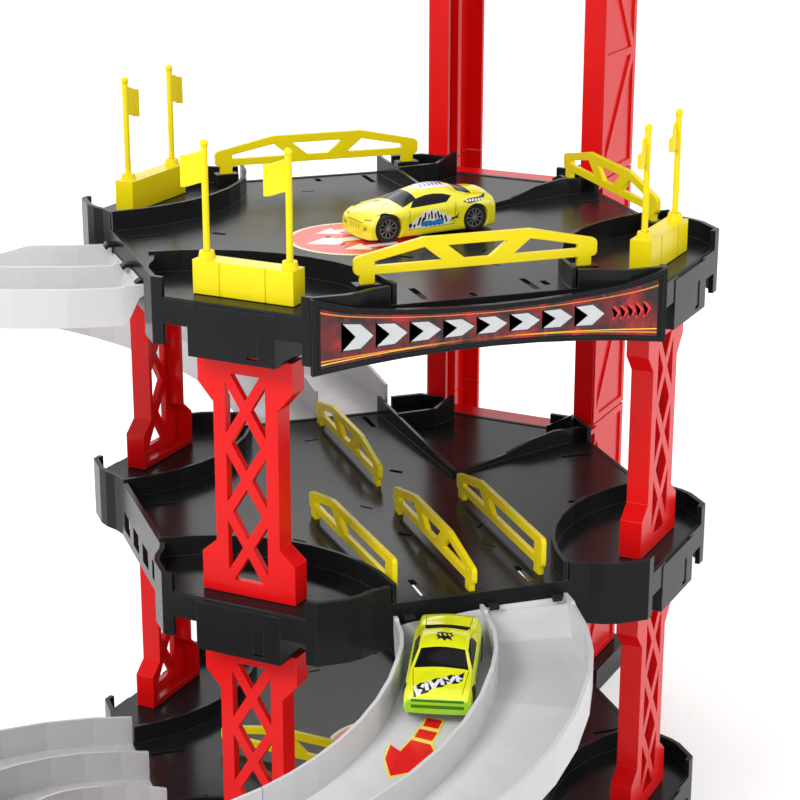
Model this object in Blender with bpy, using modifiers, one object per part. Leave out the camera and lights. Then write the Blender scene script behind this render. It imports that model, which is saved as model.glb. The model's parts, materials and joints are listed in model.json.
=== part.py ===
"""Toy parking garage for small die-cast cars.

Three octagonal decks of one black moulding stand on red lattice pillars, with an elevator tower
at the back right corner and two grey double-lane ramps that wind down round the left corners.
Yellow truss rails and flag gates finish the decks, and two cars belong to the set.

Units are metres, +Z is up. The origin lies under the decks' centre, on the surface it stands on.
+X runs to the right along the front, +Y to the back.
"""
import math

import bmesh
import bpy
from mathutils import Matrix, Vector

# Fits
GAP = 0.0003  # between pieces that seat on each other
RUN = 0.0006  # between a moving piece and its guide

# Storeys
LEVEL_RISE = 0.128
GROUND_FLOOR = 0.023
FLOORS = [GROUND_FLOOR + LEVEL_RISE * level for level in range(3)]

# Lanes
LANE = 0.038
RAMP_WALL = 0.0016

# Deck moulding: each side has a port for two lanes, and bends out beside it to its corners
DECK_HALF = 0.126  # centre to the outer face of a side
PORT_RECESS = 0.0065
PORT_LINE = DECK_HALF - PORT_RECESS
PORT_HALF = LANE + RAMP_WALL / 2 + 0.0012
BEND_IN = PORT_HALF + 0.002
BEND_OUT = BEND_IN + 0.018
BEND_STEPS = 3
SIDE_HALF = BEND_OUT + 0.014  # half a side's length, corner to corner
CHAMFER_N = (DECK_HALF + SIDE_HALF) / math.sqrt(2)  # centre to a cut corner's face
CHAMFER_HALF = (DECK_HALF - SIDE_HALF) / math.sqrt(2)
PLATE = 0.0025
WALL = 0.0022
RIM = 0.008
EDGE_LIP = 0.0004  # the wall's edge above the floor where a port or a station has no rim
SKIRT = 0.020
LANDING_CUT = 0.0167  # the elevator landing's edge lies this far inside a cut corner's face
LANDING_N = CHAMFER_N - LANDING_CUT
LANDING_RIM_HALF = 0.030
STATION_DEPTH = GROUND_FLOOR
STATION_WIDTH = 0.040
STATION_INWARD = 0.026
BAND = 0.011
FLANGE = 0.005
LIGHT = (0.012, 0.009)  # openings in a closed side's skirt
LIGHT_DROP = 0.0065
NOTCH_WIDTH = 0.032
NOTCH_DEPTH = 0.003
PEG_SLOT = (0.005, 0.012)
BOSS_RADIUS = 0.0135
RIB = 0.0016
RIB_DEPTH = 0.008
FENCE_CENTRE = PORT_LINE + 0.0025
FENCE_RADIUS = FENCE_CENTRE - PORT_HALF + 0.002
FENCE_HEIGHT = 0.009
FENCE = 0.0016
FENCE_STEPS = 9
FIN = 0.0020
FIN_TALL = 0.0125  # the guide plates beside the elevator landing, at their taller end
# The elevator bay's two fences meet in a point. These are places along a side and in from its
# port line, for the fences and for the guide plates at the landing.
BAY_POINT = (0.0378, 0.1028)
BACK_FENCE = [(0.0330, WALL / 2), BAY_POINT]
RIGHT_FENCE = [(0.0300, 0.0498), (0.0352, 0.0355), (0.0410, 0.0195), (0.0468, WALL / 2)]
LEFT_FIN = [(0.0346, 0.0285), (0.0540, 0.0295), (0.0670, 0.0211)]
RIGHT_FIN = [(0.0590, 0.0160), (0.0490, 0.0065)]
SPARE_SLOT = (0.0065, 0.0013)
CLIP_SLOT = (0.017, 0.0028)
CLIP_SLOT_PLACES = (-0.0236, 0.0245)  # along a port
CLIP_SLOT_IN = 0.0055  # from the port line
SOCKET = (0.011, 0.0065, 0.0072)  # blocks that carry the top deck's rails

# Lattice pillars
SHAFT_WIDTH = 0.030
FOOT_WIDTH = 0.044
PILLAR_DEPTH = 0.010
FOOT_FLAT = 0.017
FOOT_TAPER = 0.006
HEAD_FLAT = 0.013
HEAD_TAPER = 0.008
WINDOW_WIDTH = 0.0187
WINDOW_LOW = 0.0065
WINDOW_HIGH = 0.0079  # solid above the topmost cell
BRACE_COUNT = 3
PILLAR_HEIGHT = LEVEL_RISE - STATION_DEPTH - 2 * GAP
BRACE_PITCH = (PILLAR_HEIGHT - WINDOW_LOW - WINDOW_HIGH) / BRACE_COUNT
BRACE = 0.0042
PILLAR_FACE = 0.0030
PILLAR_SET = 0.0095  # outer face of the pillar inside the deck's outer face
TENON = (0.020, 0.005, 0.0021)
HEAD_TENON = (0.024, 0.005, 0.008)

# Bridge rails
RAIL_FEET = 2 * (PORT_HALF + 0.0065)  # its feet stand beside a port
RAIL_FOOT = 0.006
RAIL_FOOT_HEIGHT = 0.0033
RAIL_OVERHANG = 0.0025  # beyond the feet
RAIL_END = RAIL_FEET / 2 + RAIL_FOOT / 2 + RAIL_OVERHANG
RAIL_BODY = 0.0134  # from the bottom chord's lower edge to the top chord's upper edge
RAIL_END_HEIGHT = 0.0075
RAIL_ROUND = 0.002
RAIL_LOW_BAR = 0.0034
RAIL_TOP_BAR = 0.0039
RAIL_CORNER = 0.0228  # where the top chord bends down, from the middle
RAIL_BRACE = 0.0098  # measured along the chord
RAIL_BRACE_LOW = 0.0052  # from the middle to the brace, on the bottom chord
RAIL_LEAN = 0.0076  # the braces' top lies this much further out
RAIL_THICK = 0.0022
RAIL_TENON = 0.0019

# Gates with flags
GATE_LENGTH = 0.046
POLE_MARGIN = 0.004
GATE_DEPTH = 0.0095
GATE_HEIGHT = 0.014
BOSS_RISE = 0.003
POLE_SPACING = GATE_LENGTH - 2 * POLE_MARGIN
POLE_RADIUS = 0.0014
POLE_BOSS = (0.0037, 0.0030)
POLE_HEIGHT = 0.0433
POLE_BALL = 0.0018
FLAG_WIDTH = 0.011
FLAG_HEIGHT = 0.0128
FLAG_WAVE = 0.0010
FLAG_FALL = 0.0026  # its free end hangs this much lower
FLAG_THICK = 0.0010
FLAG_SET = 0.0030  # below the pole's top

# Sign board
SIGN_HALF = SIDE_HALF + 0.0012
SIGN_HEIGHT = 0.031
SIGN_THICK = 0.0026
SIGN_ARCH = 0.0055
SIGN_DIP = 0.0085
SIGN_FRAME = 0.0016
SIGN_RECESS = 0.0008

# Ramps
RAMP_INSET = 0.004
RAMP_RADIUS = PORT_LINE - RAMP_INSET  # so that both ends meet a port's middle
RAMP_WALL_HEIGHT = 0.0146
RAMP_FLOOR = 0.0020
RAMP_START_DROP = 0.0080
RAMP_TOP_DROP = 0.005
RAMP_EDGE_DROP = 0.0065  # the lanes at the upper port
LIP_DROP = 0.0205  # the lanes below the upper port's lip
LIP_RUN = 0.0075
RAMP_STEPS = 10  # facets in each quarter turn
LIP_STEPS = 18  # and in the quarter with the lip

# Elevator tower
SHAFT_HALF = 0.0365
SILL_DEPTH = 0.013  # from the landing to the columns
COLUMN_DEPTH = 0.010
COLUMN_LENGTH = 0.044
COLUMN_FRONT = LANDING_N + GAP + SILL_DEPTH + GAP
COLUMN_BACK = COLUMN_FRONT + COLUMN_LENGTH
COLUMN_OUT = SHAFT_HALF + COLUMN_DEPTH
SILL_HALF = COLUMN_OUT + 0.0035
COLUMN_WALL = 0.0018
COLUMN_FLANGE = 0.0022
GUIDE_RIB = (0.0040, 0.0045)
PANEL_RIB = 0.0035
PANEL_PROUD = 0.0012
TOWER_TOP = FLOORS[2] + 0.119
CAP_THICK = 0.004
CAP_LIP = 0.006
CARRIAGE_SKIRT = 0.0090
CARRIAGE_REST = 0.001
BASE_HALF = COLUMN_OUT + 0.0075
BASE_HEIGHT = GROUND_FLOOR - CARRIAGE_SKIRT - CARRIAGE_REST
BASE_END = COLUMN_BACK + 0.0057
BASE_WALL = 0.003
SILL_HEIGHT = 0.009
SILL_THICK = 0.0024

# Elevator carriage
CARRIAGE_SIDE_GAP = 0.0035
CARRIAGE_HALF = SHAFT_HALF - CARRIAGE_SIDE_GAP
CARRIAGE_LENGTH = 0.062
CARRIAGE_FLOOR = 0.0022
CARRIAGE_SIDE = 0.008
CARRIAGE_WALL = 0.0018
HANDLE = (0.024, 0.011, 0.0030)

# Cars
CAR_FRONT = 0.0315  # from the middle between its axles
CAR_BACK = 0.0345
CAR_HALF_WIDTH = 0.0152
CAR_WALL = 0.0012
CAR_BOTTOM = 0.0036
WHEELBASE = 0.0445
WHEEL_RADIUS = 0.0060
WHEEL_WIDTH = 0.0045
TREAD_HALF = CAR_HALF_WIDTH - 0.0006
AXLE_RADIUS = 0.0010
ARCH_CLEAR = 0.0010
WHEEL_CLEAR = 0.0006
SPINE_HALF = TREAD_HALF - WHEEL_WIDTH - WHEEL_CLEAR
SPINE_TOP = 0.0088
SPINE_END_CLEAR = 0.0030
CABIN_FLOOR = 0.0128
WINDOW_PILLAR = 0.0066  # the front and rear windows' edge lies this far in from the widest part
GLASS_GAP = 0.0009  # measured across; square to the sloped panes it is about a third of that
DECK_CAR = (0.0105, -0.0050)
DECK_CAR_HEADING = 191.2
LIME_CAR_SIZE = 0.92  # beside the yellow car
CAR_OUTSET = 0.0004  # its axles run this far outside the lane's middle
CAR_BELOW_PORT = CAR_BACK * LIME_CAR_SIZE + 0.0070  # its middle, along the lane
CAR_ON_RAMP_GAP = 0.0005

BLACK = ("black_styrene", (0.030, 0.031, 0.034), 0.22)
RED = ("red_styrene", (0.72, 0.012, 0.012), 0.30)
YELLOW = ("yellow_styrene", (0.93, 0.78, 0.02), 0.32)
GREY = ("grey_styrene", (0.72, 0.72, 0.73), 0.28)
YELLOW_PAINT = ("yellow_paint", (0.90, 0.72, 0.02), 0.18)
LIME_PAINT = ("lime_paint", (0.52, 0.80, 0.03), 0.18)
SMOKED = ("smoked_window", (0.012, 0.012, 0.014), 0.08)
RUBBER = ("wheel_black", (0.02, 0.02, 0.02), 0.45)

PARTS = bpy.data.collections.new("toy_parking_garage")


def clear_scene():
    for item in list(bpy.data.objects):
        bpy.data.objects.remove(item, do_unlink=True)
    bpy.context.scene.collection.children.link(PARTS)


def finish(item, name, look):
    """Name a piece and give it its own material."""
    item.name = name
    item.data.name = name
    title, colour, roughness = look
    surface = bpy.data.materials.new(f"{title}_{name}")
    surface.use_nodes = True
    shader = surface.node_tree.nodes["Principled BSDF"]
    shader.inputs["Base Color"].default_value = (*colour, 1.0)
    shader.inputs["Roughness"].default_value = roughness
    shader.inputs["Metallic"].default_value = 0.0
    item.data.materials.clear()
    item.data.materials.append(surface)
    return item


def link_mesh(mesh):
    item = bpy.data.objects.new("piece", mesh)
    PARTS.objects.link(item)
    return item


def from_bmesh(work):
    mesh = bpy.data.meshes.new("piece")
    work.to_mesh(mesh)
    work.free()
    return link_mesh(mesh)


def box(low, high):
    """A block between two corners."""
    work = bmesh.new()
    bmesh.ops.create_cube(work, size=1.0)
    size = Vector(high) - Vector(low)
    middle = (Vector(high) + Vector(low)) / 2
    bmesh.ops.scale(work, vec=size, verts=work.verts)
    bmesh.ops.translate(work, vec=middle, verts=work.verts)
    return from_bmesh(work)


def cylinder(radius, depth, matrix, sides=16, top_radius=None):
    """A cylinder or cone about its own Z, centred, then moved by the matrix."""
    work = bmesh.new()
    bmesh.ops.create_cone(
        work, cap_ends=True, segments=sides, radius1=radius,
        radius2=radius if top_radius is None else top_radius, depth=depth, matrix=matrix)
    return from_bmesh(work)


def ball(radius, centre, sides=10, rings=6):
    work = bmesh.new()
    bmesh.ops.create_uvsphere(work, u_segments=sides, v_segments=rings, radius=radius,
                              matrix=Matrix.Translation(centre))
    return from_bmesh(work)


def baked(item):
    """Replace an object, modifiers and all, by a plain mesh object in world space."""
    bpy.context.view_layer.update()
    seen = item.evaluated_get(bpy.context.evaluated_depsgraph_get())
    mesh = bpy.data.meshes.new_from_object(seen)
    mesh.transform(item.matrix_world)
    work = bmesh.new()
    work.from_mesh(mesh)
    bmesh.ops.remove_doubles(work, verts=work.verts, dist=0.000002)
    bmesh.ops.dissolve_limit(work, angle_limit=math.radians(0.3), verts=work.verts,
                             edges=work.edges)
    bmesh.ops.recalc_face_normals(work, faces=work.faces)
    work.to_mesh(mesh)
    work.free()
    bpy.data.objects.remove(item, do_unlink=True)
    return link_mesh(mesh)


def outline(loops, low, high):
    """A flat outline in the XY plane, inner loops as holes, filled from z low to z high."""
    curve = bpy.data.curves.new("outline", "CURVE")
    curve.dimensions = "2D"
    curve.fill_mode = "BOTH"
    curve.extrude = (high - low) / 2
    for loop in loops:
        spline = curve.splines.new("POLY")
        spline.points.add(len(loop) - 1)
        for point, (x, y) in zip(spline.points, loop):
            point.co = (x, y, 0.0, 1.0)
        spline.use_cyclic_u = True
    item = bpy.data.objects.new("outline", curve)
    PARTS.objects.link(item)
    item.location.z = (low + high) / 2
    return baked(item)


def upright(loops, thickness):
    """An outline drawn as x and height, standing in the XZ plane, centred on y = 0."""
    item = outline(loops, -thickness / 2, thickness / 2)
    item.data.transform(Matrix.Rotation(math.pi / 2, 4, "X"))
    return item


def band(points, thickness, low, high, tops=None):
    """A thin wall that follows a line of points, closed at both ends; tops vary its height."""
    work = bmesh.new()
    tops = tops or [high] * len(points)
    feet = [work.verts.new((x, y, low)) for x, y in points]
    heads = [work.verts.new((x, y, top)) for (x, y), top in zip(points, tops)]
    for i in range(len(points) - 1):
        work.faces.new((feet[i], feet[i + 1], heads[i + 1], heads[i]))
    item = from_bmesh(work)
    shell = item.modifiers.new("thickness", "SOLIDIFY")
    shell.thickness = thickness
    shell.offset = 0.0
    shell.use_even_offset = True
    return baked(item)


def combine(target, others, operation):
    """Join others to the target, or cut them from it, and drop them."""
    for other in others:
        step = target.modifiers.new("join", "BOOLEAN")
        step.operation = operation
        step.solver = "EXACT"
        step.object = other
    result = baked(target)
    for other in others:
        bpy.data.objects.remove(other, do_unlink=True)
    return result


def join(target, others):
    return combine(target, others, "UNION")


def cut(target, others):
    return combine(target, others, "DIFFERENCE")


def moved(item, matrix):
    item.data.transform(matrix)
    return item


def inset(points, distance):
    """The loop moved inward, with mitred corners; the points run anticlockwise."""
    result = []
    for i, here in enumerate(points):
        before = Vector(here) - Vector(points[i - 1])
        after = Vector(points[(i + 1) % len(points)]) - Vector(here)
        left = Vector((-before.y, before.x)).normalized()
        right = Vector((-after.y, after.x)).normalized()
        mitre = (left + right) * (distance / (1 + left.dot(right)))
        result.append(tuple(Vector(here) + mitre))
    return result


def arc(centre, radius, start, end, steps):
    """Points on an arc, angles in degrees."""
    points = []
    for i in range(steps + 1):
        angle = math.radians(start + (end - start) * i / steps)
        points.append((centre[0] + radius * math.cos(angle), centre[1] + radius * math.sin(angle)))
    return points


def turned(points, angle):
    """Points turned about the origin, angle in degrees."""
    c = math.cos(math.radians(angle))
    s = math.sin(math.radians(angle))
    return [(c * x - s * y, s * x + c * y) for x, y in points]


# The four diagonals, as the turn that takes the front side's outward direction to each.
FRONT_LEFT, FRONT_RIGHT, BACK_RIGHT, BACK_LEFT = -45, 45, 135, 225
STATIONS = {"front_left": FRONT_LEFT, "front_right": FRONT_RIGHT, "back_left": BACK_LEFT}


def facing(angle, distance, height=0.0):
    """A frame on a side or a chamfer: x along it, -y outward, its origin on the outer face."""
    turn = Matrix.Rotation(math.radians(angle), 4, "Z")
    return turn @ Matrix.Translation((0.0, -distance, height))


def side_profile(landing_end=False, landing_start=False):
    """The front side from left to right: corner, bend in to the port, bend out, corner."""
    bend = []
    for i in range(BEND_STEPS + 1):
        t = i / BEND_STEPS
        x = -BEND_OUT + (BEND_OUT - BEND_IN) * t
        bend.append((x, -DECK_HALF + PORT_RECESS * t * t * (3 - 2 * t)))
    corner = (-SIDE_HALF, -DECK_HALF)
    landing = (-(LANDING_N * math.sqrt(2) - PORT_LINE), -PORT_LINE)
    left = [landing, bend[-1]] if landing_start else [corner] + bend
    right = [landing, bend[-1]] if landing_end else [corner] + bend
    return left + [(-x, y) for x, y in reversed(right)]


def deck_outline():
    points = side_profile()
    points += turned(side_profile(landing_end=True), 90)
    points += turned(side_profile(landing_start=True), 180)
    points += turned(side_profile(), 270)
    return points


# Where the rails stand, as centre and heading in degrees; the decks have a slot for every foot.
MIDDLE_RAILS = [((-0.001, PORT_LINE - 0.0555), 90), ((-0.0385, 0.0590 - PORT_LINE), 93),
                ((-0.003, 0.0523 - PORT_LINE), 90), ((0.0312, 0.0600 - PORT_LINE), 90)]
HALF_RAILS = (2, 4)
GROUND_RAILS = [((-0.042, -0.015), -45), ((0.046, -0.002), -45)]
TOP_RAILS = [((0.0, 0.0105 - PORT_LINE), 0), ((PORT_LINE - 0.0125, 0.0), 90),
             ((-0.002, PORT_LINE - 0.0115), 180)]


# Further places for rails or signs
SPARE_SLOTS = [((-0.0153, -0.0102), -50), ((0.0093, -0.0106), 40), ((0.0264, -0.0484), 47),
               ((0.0219, -0.0718), -60), ((-0.0560, -0.0398), -50), ((-0.0130, 0.0875), 5)]


def rail_feet(rail):
    (x, y), heading = rail
    half = RAIL_FEET / 2
    dx = math.cos(math.radians(heading)) * half
    dy = math.sin(math.radians(heading)) * half
    return [(x - dx, y - dy), (x + dx, y + dy)]


def rectangle(centre, heading, length, width):
    corners = [(-length / 2, -width / 2), (length / 2, -width / 2),
               (length / 2, width / 2), (-length / 2, width / 2)]
    return [(centre[0] + x, centre[1] + y) for x, y in turned(corners, heading)]


def deck_slots():
    """Holes through the floor: for the rails' and pillars' tenons, and where ramps clip in."""
    slots = [rectangle(place, heading, *SPARE_SLOT) for place, heading in SPARE_SLOTS]
    inner = PORT_LINE - CLIP_SLOT_IN - CLIP_SLOT[0] / 2
    for turn in (0, 90, 180, 270):
        for x in CLIP_SLOT_PLACES:
            centre = turned([(x, -inner)], turn)[0]
            slots.append(rectangle(centre, turn + 90, *CLIP_SLOT))
    for rail in MIDDLE_RAILS + GROUND_RAILS:
        for foot in rail_feet(rail):
            slots.append(rectangle(foot, rail[1], RAIL_FOOT + 2 * GAP, RAIL_THICK + 2 * GAP))
    inward = CHAMFER_N - PILLAR_SET - PILLAR_DEPTH / 2
    for angle in STATIONS.values():
        centre = turned([(0.0, -inward)], angle)[0]
        slots.append(rectangle(centre, angle, TENON[0] + 2 * GAP, TENON[1] + 2 * GAP))
    return slots


def station_walls(angle):
    """The hollow block under a station: its lower face, its two sides and its back."""
    half = STATION_WIDTH / 2
    outer = [(-half, -EDGE_LIP), (half, -EDGE_LIP), (half, STATION_INWARD), (-half, STATION_INWARD)]
    block = outline([outer, inset(outer, WALL)], -STATION_DEPTH, -PLATE * 0.6)
    slot_wide, slot_high = PEG_SLOT
    slot = box((half - 0.008 - slot_wide, -0.002, -STATION_DEPTH + 0.002),
               (half - 0.008, WALL + 0.001, -STATION_DEPTH + 0.002 + slot_high))
    block = cut(block, [slot])
    return moved(block, facing(angle, CHAMFER_N))


def chamfer_cuts(angle):
    """What is taken from the ring at a station: rim, slot notch and the two lower corners."""
    frame = facing(angle, CHAMFER_N)
    reach = CHAMFER_HALF - FLANGE
    deep = WALL * 1.6
    cuts = [box((-reach, -0.002, -EDGE_LIP), (reach, deep, RIM + 0.002)),
            box((-NOTCH_WIDTH / 2, -0.002, -NOTCH_DEPTH), (NOTCH_WIDTH / 2, WALL * 0.3, 0.001))]
    for side in (-1, 1):
        near, far = sorted((side * (STATION_WIDTH - WALL) / 2, side * reach))
        cuts.append(box((near, -0.002, -SKIRT - 0.002), (far, deep, -BAND)))
    return [moved(item, frame) for item in cuts]


def deck_ring(closed_sides):
    """The outer wall: rim above the floor, skirt below it, open at the ports."""
    edge = deck_outline()
    ring = outline([edge, inset(edge, WALL)], -SKIRT, RIM)
    cuts = []
    for side in range(4):
        if side in closed_sides:
            continue
        gate = box((-PORT_HALF, -0.003, EDGE_LIP), (PORT_HALF, WALL + 0.002, RIM + 0.002))
        cuts.append(moved(gate, facing(90 * side, PORT_LINE)))
    landing = box((-LANDING_RIM_HALF, -0.003, EDGE_LIP),
                  (LANDING_RIM_HALF, WALL + 0.002, RIM + 0.002))
    cuts.append(moved(landing, facing(BACK_RIGHT, LANDING_N)))
    for angle in STATIONS.values():
        cuts += chamfer_cuts(angle)
    for side in closed_sides:
        for share in (-0.75, -0.25, 0.25, 0.75):
            x = share * PORT_HALF
            light = box((x - LIGHT[0] / 2, -0.003, -LIGHT_DROP - LIGHT[1]),
                        (x + LIGHT[0] / 2, WALL + 0.002, -LIGHT_DROP))
            cuts.append(moved(light, facing(90 * side, PORT_LINE)))
    return cut(ring, cuts)


def fences():
    """The quarter-round fences of the three stations and the two fences of the elevator bay."""
    low = -PLATE * 0.4
    walls = []
    for angle in STATIONS.values():
        quarter = arc((0.0, 0.0), FENCE_RADIUS, 47, 133, FENCE_STEPS)
        middle = turned([(0.0, -FENCE_CENTRE * math.sqrt(2))], angle)[0]
        points = [(middle[0] + x, middle[1] + y) for x, y in turned(quarter, angle)]
        walls.append(band(points, FENCE, low, FENCE_HEIGHT))
    back = [(along, PORT_LINE - inward) for along, inward in BACK_FENCE]
    walls.append(band(back, FENCE, low, FENCE_HEIGHT, [FENCE_HEIGHT, FENCE_HEIGHT * 0.3]))
    right = [back[-1]] + [(PORT_LINE - inward, along) for along, inward in RIGHT_FENCE]
    shares = (0.12, 0.35, 0.75, 0.9, 0.72)
    walls.append(band(right, FENCE, low * 1.15, FENCE_HEIGHT, [FENCE_HEIGHT * s for s in shares]))
    return walls


def fins():
    """Tapered guide plates on both sides of the elevator landing."""
    low = -PLATE * 0.5
    left = [(along, PORT_LINE - inward) for along, inward in LEFT_FIN]
    right = [(PORT_LINE - inward, along) for along, inward in RIGHT_FIN]
    return [band(left, FIN, low, FIN_TALL, [FENCE_HEIGHT * 0.9, FENCE_HEIGHT, FIN_TALL]),
            band(right, FIN, low, FIN_TALL, [FENCE_HEIGHT * 0.5, FIN_TALL])]


def underside():
    """The centre boss that stands on the table and the diagonal ribs that run out from it."""
    parts = [cylinder(BOSS_RADIUS, STATION_DEPTH - PLATE / 2,
                      Matrix.Translation((0, 0, -(STATION_DEPTH + PLATE / 2) / 2)), 24)]
    reach = LANDING_N - WALL / 2
    for angle in (45, 135):
        rib = box((-reach, -RIB / 2, -RIB_DEPTH), (reach, RIB / 2, -PLATE * 0.3))
        parts.append(moved(rib, Matrix.Rotation(math.radians(angle), 4, "Z")))
    return parts


def sockets():
    """Blocks with a blind slot that hold the rails over the top deck's ports."""
    length, width, height = SOCKET
    blocks = []
    slots = []
    for rail in TOP_RAILS:
        for foot in rail_feet(rail):
            base = rectangle(foot, rail[1], length, width)
            blocks.append(outline([base], -PLATE * 0.7, height))
            hole = rectangle(foot, rail[1], RAIL_FOOT + 2 * GAP, RAIL_THICK + 2 * GAP)
            slots.append(outline([hole], height - RAIL_TENON - GAP, height + 0.002))
    return blocks, slots


def build_deck(name, level, closed_sides, with_sockets):
    edge = deck_outline()
    plate = outline([inset(edge, WALL / 2)] + deck_slots(), -PLATE, 0.0)
    ring = deck_ring(closed_sides)
    pieces = [ring] + fences() + fins() + underside()
    pieces += [station_walls(angle) for angle in STATIONS.values()]
    holes = []
    if with_sockets:
        blocks, holes = sockets()
        pieces += blocks
    deck = join(plate, pieces)
    if holes:
        deck = cut(deck, holes)
    deck.location.z = FLOORS[level]
    return finish(deck, name, BLACK)


def pillar_holes(centre_low, width, height):
    """The gaps between the crossed braces of a lattice window."""
    holes = []
    half = width / 2
    bar = BRACE / 2
    pitch = BRACE_PITCH
    slope = math.atan2(pitch, width)
    dx = bar / math.sin(slope)
    dz = bar / math.cos(slope)
    for cell in range(BRACE_COUNT):
        low = centre_low + cell * pitch
        middle = low + pitch / 2
        for side in (-1, 1):
            tip = (side * dx, middle)
            holes.append([tip, (side * half, middle + (half - dx) * math.tan(slope)),
                          (side * half, middle - (half - dx) * math.tan(slope))])
    for joint in range(1, BRACE_COUNT):
        z = centre_low + joint * pitch
        holes.append([(0.0, z - pitch / 2 + dz), (half - dx, z), (0.0, z + pitch / 2 - dz),
                      (-(half - dx), z)])
    low = centre_low
    holes.append([(-(half - dx), low), (half - dx, low), (0.0, low + pitch / 2 - dz)])
    high = centre_low + BRACE_COUNT * pitch
    holes.append([(-(half - dx), high), (0.0, high - pitch / 2 + dz), (half - dx, high)])
    return holes


def pillar_mesh():
    """A lattice pillar: an openwork face with a flange down each side, tenons top and bottom."""
    height = PILLAR_HEIGHT
    shaft = SHAFT_WIDTH / 2
    foot = FOOT_WIDTH / 2
    half_outline = [(foot, 0.0), (foot, FOOT_FLAT), (shaft, FOOT_FLAT + FOOT_TAPER),
                    (shaft, height - HEAD_FLAT - HEAD_TAPER), (foot, height - HEAD_FLAT),
                    (foot, height)]
    edge = half_outline + [(-x, z) for x, z in reversed(half_outline)]
    face = upright([edge] + pillar_holes(WINDOW_LOW, WINDOW_WIDTH, height), PILLAR_FACE)
    moved(face, Matrix.Translation((0, PILLAR_FACE / 2, 0)))
    parts = []
    inner = [(x - math.copysign(0.0022, x), z) for x, z in half_outline]
    flange = half_outline + list(reversed(inner))
    for mirror in (1, -1):
        side = upright([[(mirror * x, z) for x, z in flange]], PILLAR_DEPTH - 0.0002)
        parts.append(moved(side, Matrix.Translation((0, (PILLAR_DEPTH - 0.0002) / 2 + 0.0001, 0))))
    deep = PILLAR_DEPTH
    for low, high in ((0.0001, 0.0030), (height - 0.0030, height - 0.0001)):
        parts.append(box((-foot + 0.001, 0.0002, low), (foot - 0.001, deep - 0.0002, high)))
    middle = PILLAR_DEPTH / 2
    parts.append(box((-TENON[0] / 2, middle - TENON[1] / 2, -TENON[2]),
                     (TENON[0] / 2, middle + TENON[1] / 2, 0.002)))
    parts.append(box((-HEAD_TENON[0] / 2, middle - HEAD_TENON[1] / 2, height - 0.002),
                     (HEAD_TENON[0] / 2, middle + HEAD_TENON[1] / 2, height + HEAD_TENON[2])))
    return join(face, parts)


def build_pillars():
    first = pillar_mesh()
    mesh = first.data
    bpy.data.objects.remove(first, do_unlink=True)
    for level, storey in enumerate(("ground", "middle")):
        for corner, angle in STATIONS.items():
            item = link_mesh(mesh.copy())
            item.matrix_world = facing(angle, CHAMFER_N - PILLAR_SET, FLOORS[level] + GAP)
            finish(item, f"{storey}_pillar_{corner}", RED)


def rail_mesh(half_rail=False):
    """A truss rail with two braces; a half rail keeps its full height to its left end."""
    foot = RAIL_FOOT / 2
    low = RAIL_FOOT_HEIGHT
    top = low + RAIL_BODY
    end = RAIL_END
    shoulder = low + RAIL_END_HEIGHT
    bottom = []
    for x in (-RAIL_FEET / 2, RAIL_FEET / 2):
        bottom += [(x - foot, low), (x - foot, -RAIL_TENON), (x + foot, -RAIL_TENON),
                   (x + foot, low)]
    centre = end - RAIL_ROUND
    right = arc((centre, low + RAIL_ROUND), RAIL_ROUND, -90, 0, 3)
    right += arc((centre, shoulder - RAIL_ROUND), RAIL_ROUND, 0, 75, 3)
    right.append((RAIL_CORNER, top))
    left = [(-x, z) for x, z in reversed(right)]
    if half_rail:
        left = arc((-centre, top - RAIL_ROUND), RAIL_ROUND, 90, 180, 3)
        left += arc((-centre, low + RAIL_ROUND), RAIL_ROUND, 180, 270, 3)
    edge = bottom + right + left

    sill = low + RAIL_LOW_BAR
    crown = top - RAIL_TOP_BAR
    inner = RAIL_BRACE_LOW
    outer = inner + RAIL_BRACE
    slope = (RAIL_BODY - RAIL_END_HEIGHT) / (end - RAIL_CORNER)
    tip = RAIL_FEET / 2 - foot
    tip_top = crown - (tip - RAIL_CORNER) * slope
    side = [(outer, sill), (tip, sill), (tip, tip_top), (outer + RAIL_LEAN, crown)]
    middle = [(-inner, sill), (inner, sill), (inner + RAIL_LEAN, crown),
              (-inner - RAIL_LEAN, crown)]
    other = [(-x, z) for x, z in reversed(side)]
    if half_rail:
        middle = [(-tip, sill), (inner, sill), (inner + RAIL_LEAN, crown), (-tip, crown)]
        return upright([edge, side, middle], RAIL_THICK)
    return upright([edge, side, middle, other], RAIL_THICK)


def build_rails():
    whole = rail_mesh()
    half = rail_mesh(half_rail=True)
    sets = (("ground", GROUND_RAILS, 0, 0.0), ("middle", MIDDLE_RAILS, 1, 0.0),
            ("top", TOP_RAILS, 2, SOCKET[2]))
    for storey, rails, level, lift in sets:
        for number, ((x, y), heading) in enumerate(rails, 1):
            shape = half if storey == "middle" and number in HALF_RAILS else whole
            item = link_mesh(shape.data.copy())
            item.location = (x, y, FLOORS[level] + lift + GAP)
            item.rotation_euler.z = math.radians(heading)
            finish(item, f"{storey}_rail_{number}", YELLOW)
    for item in (whole, half):
        bpy.data.objects.remove(item, do_unlink=True)


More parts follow.
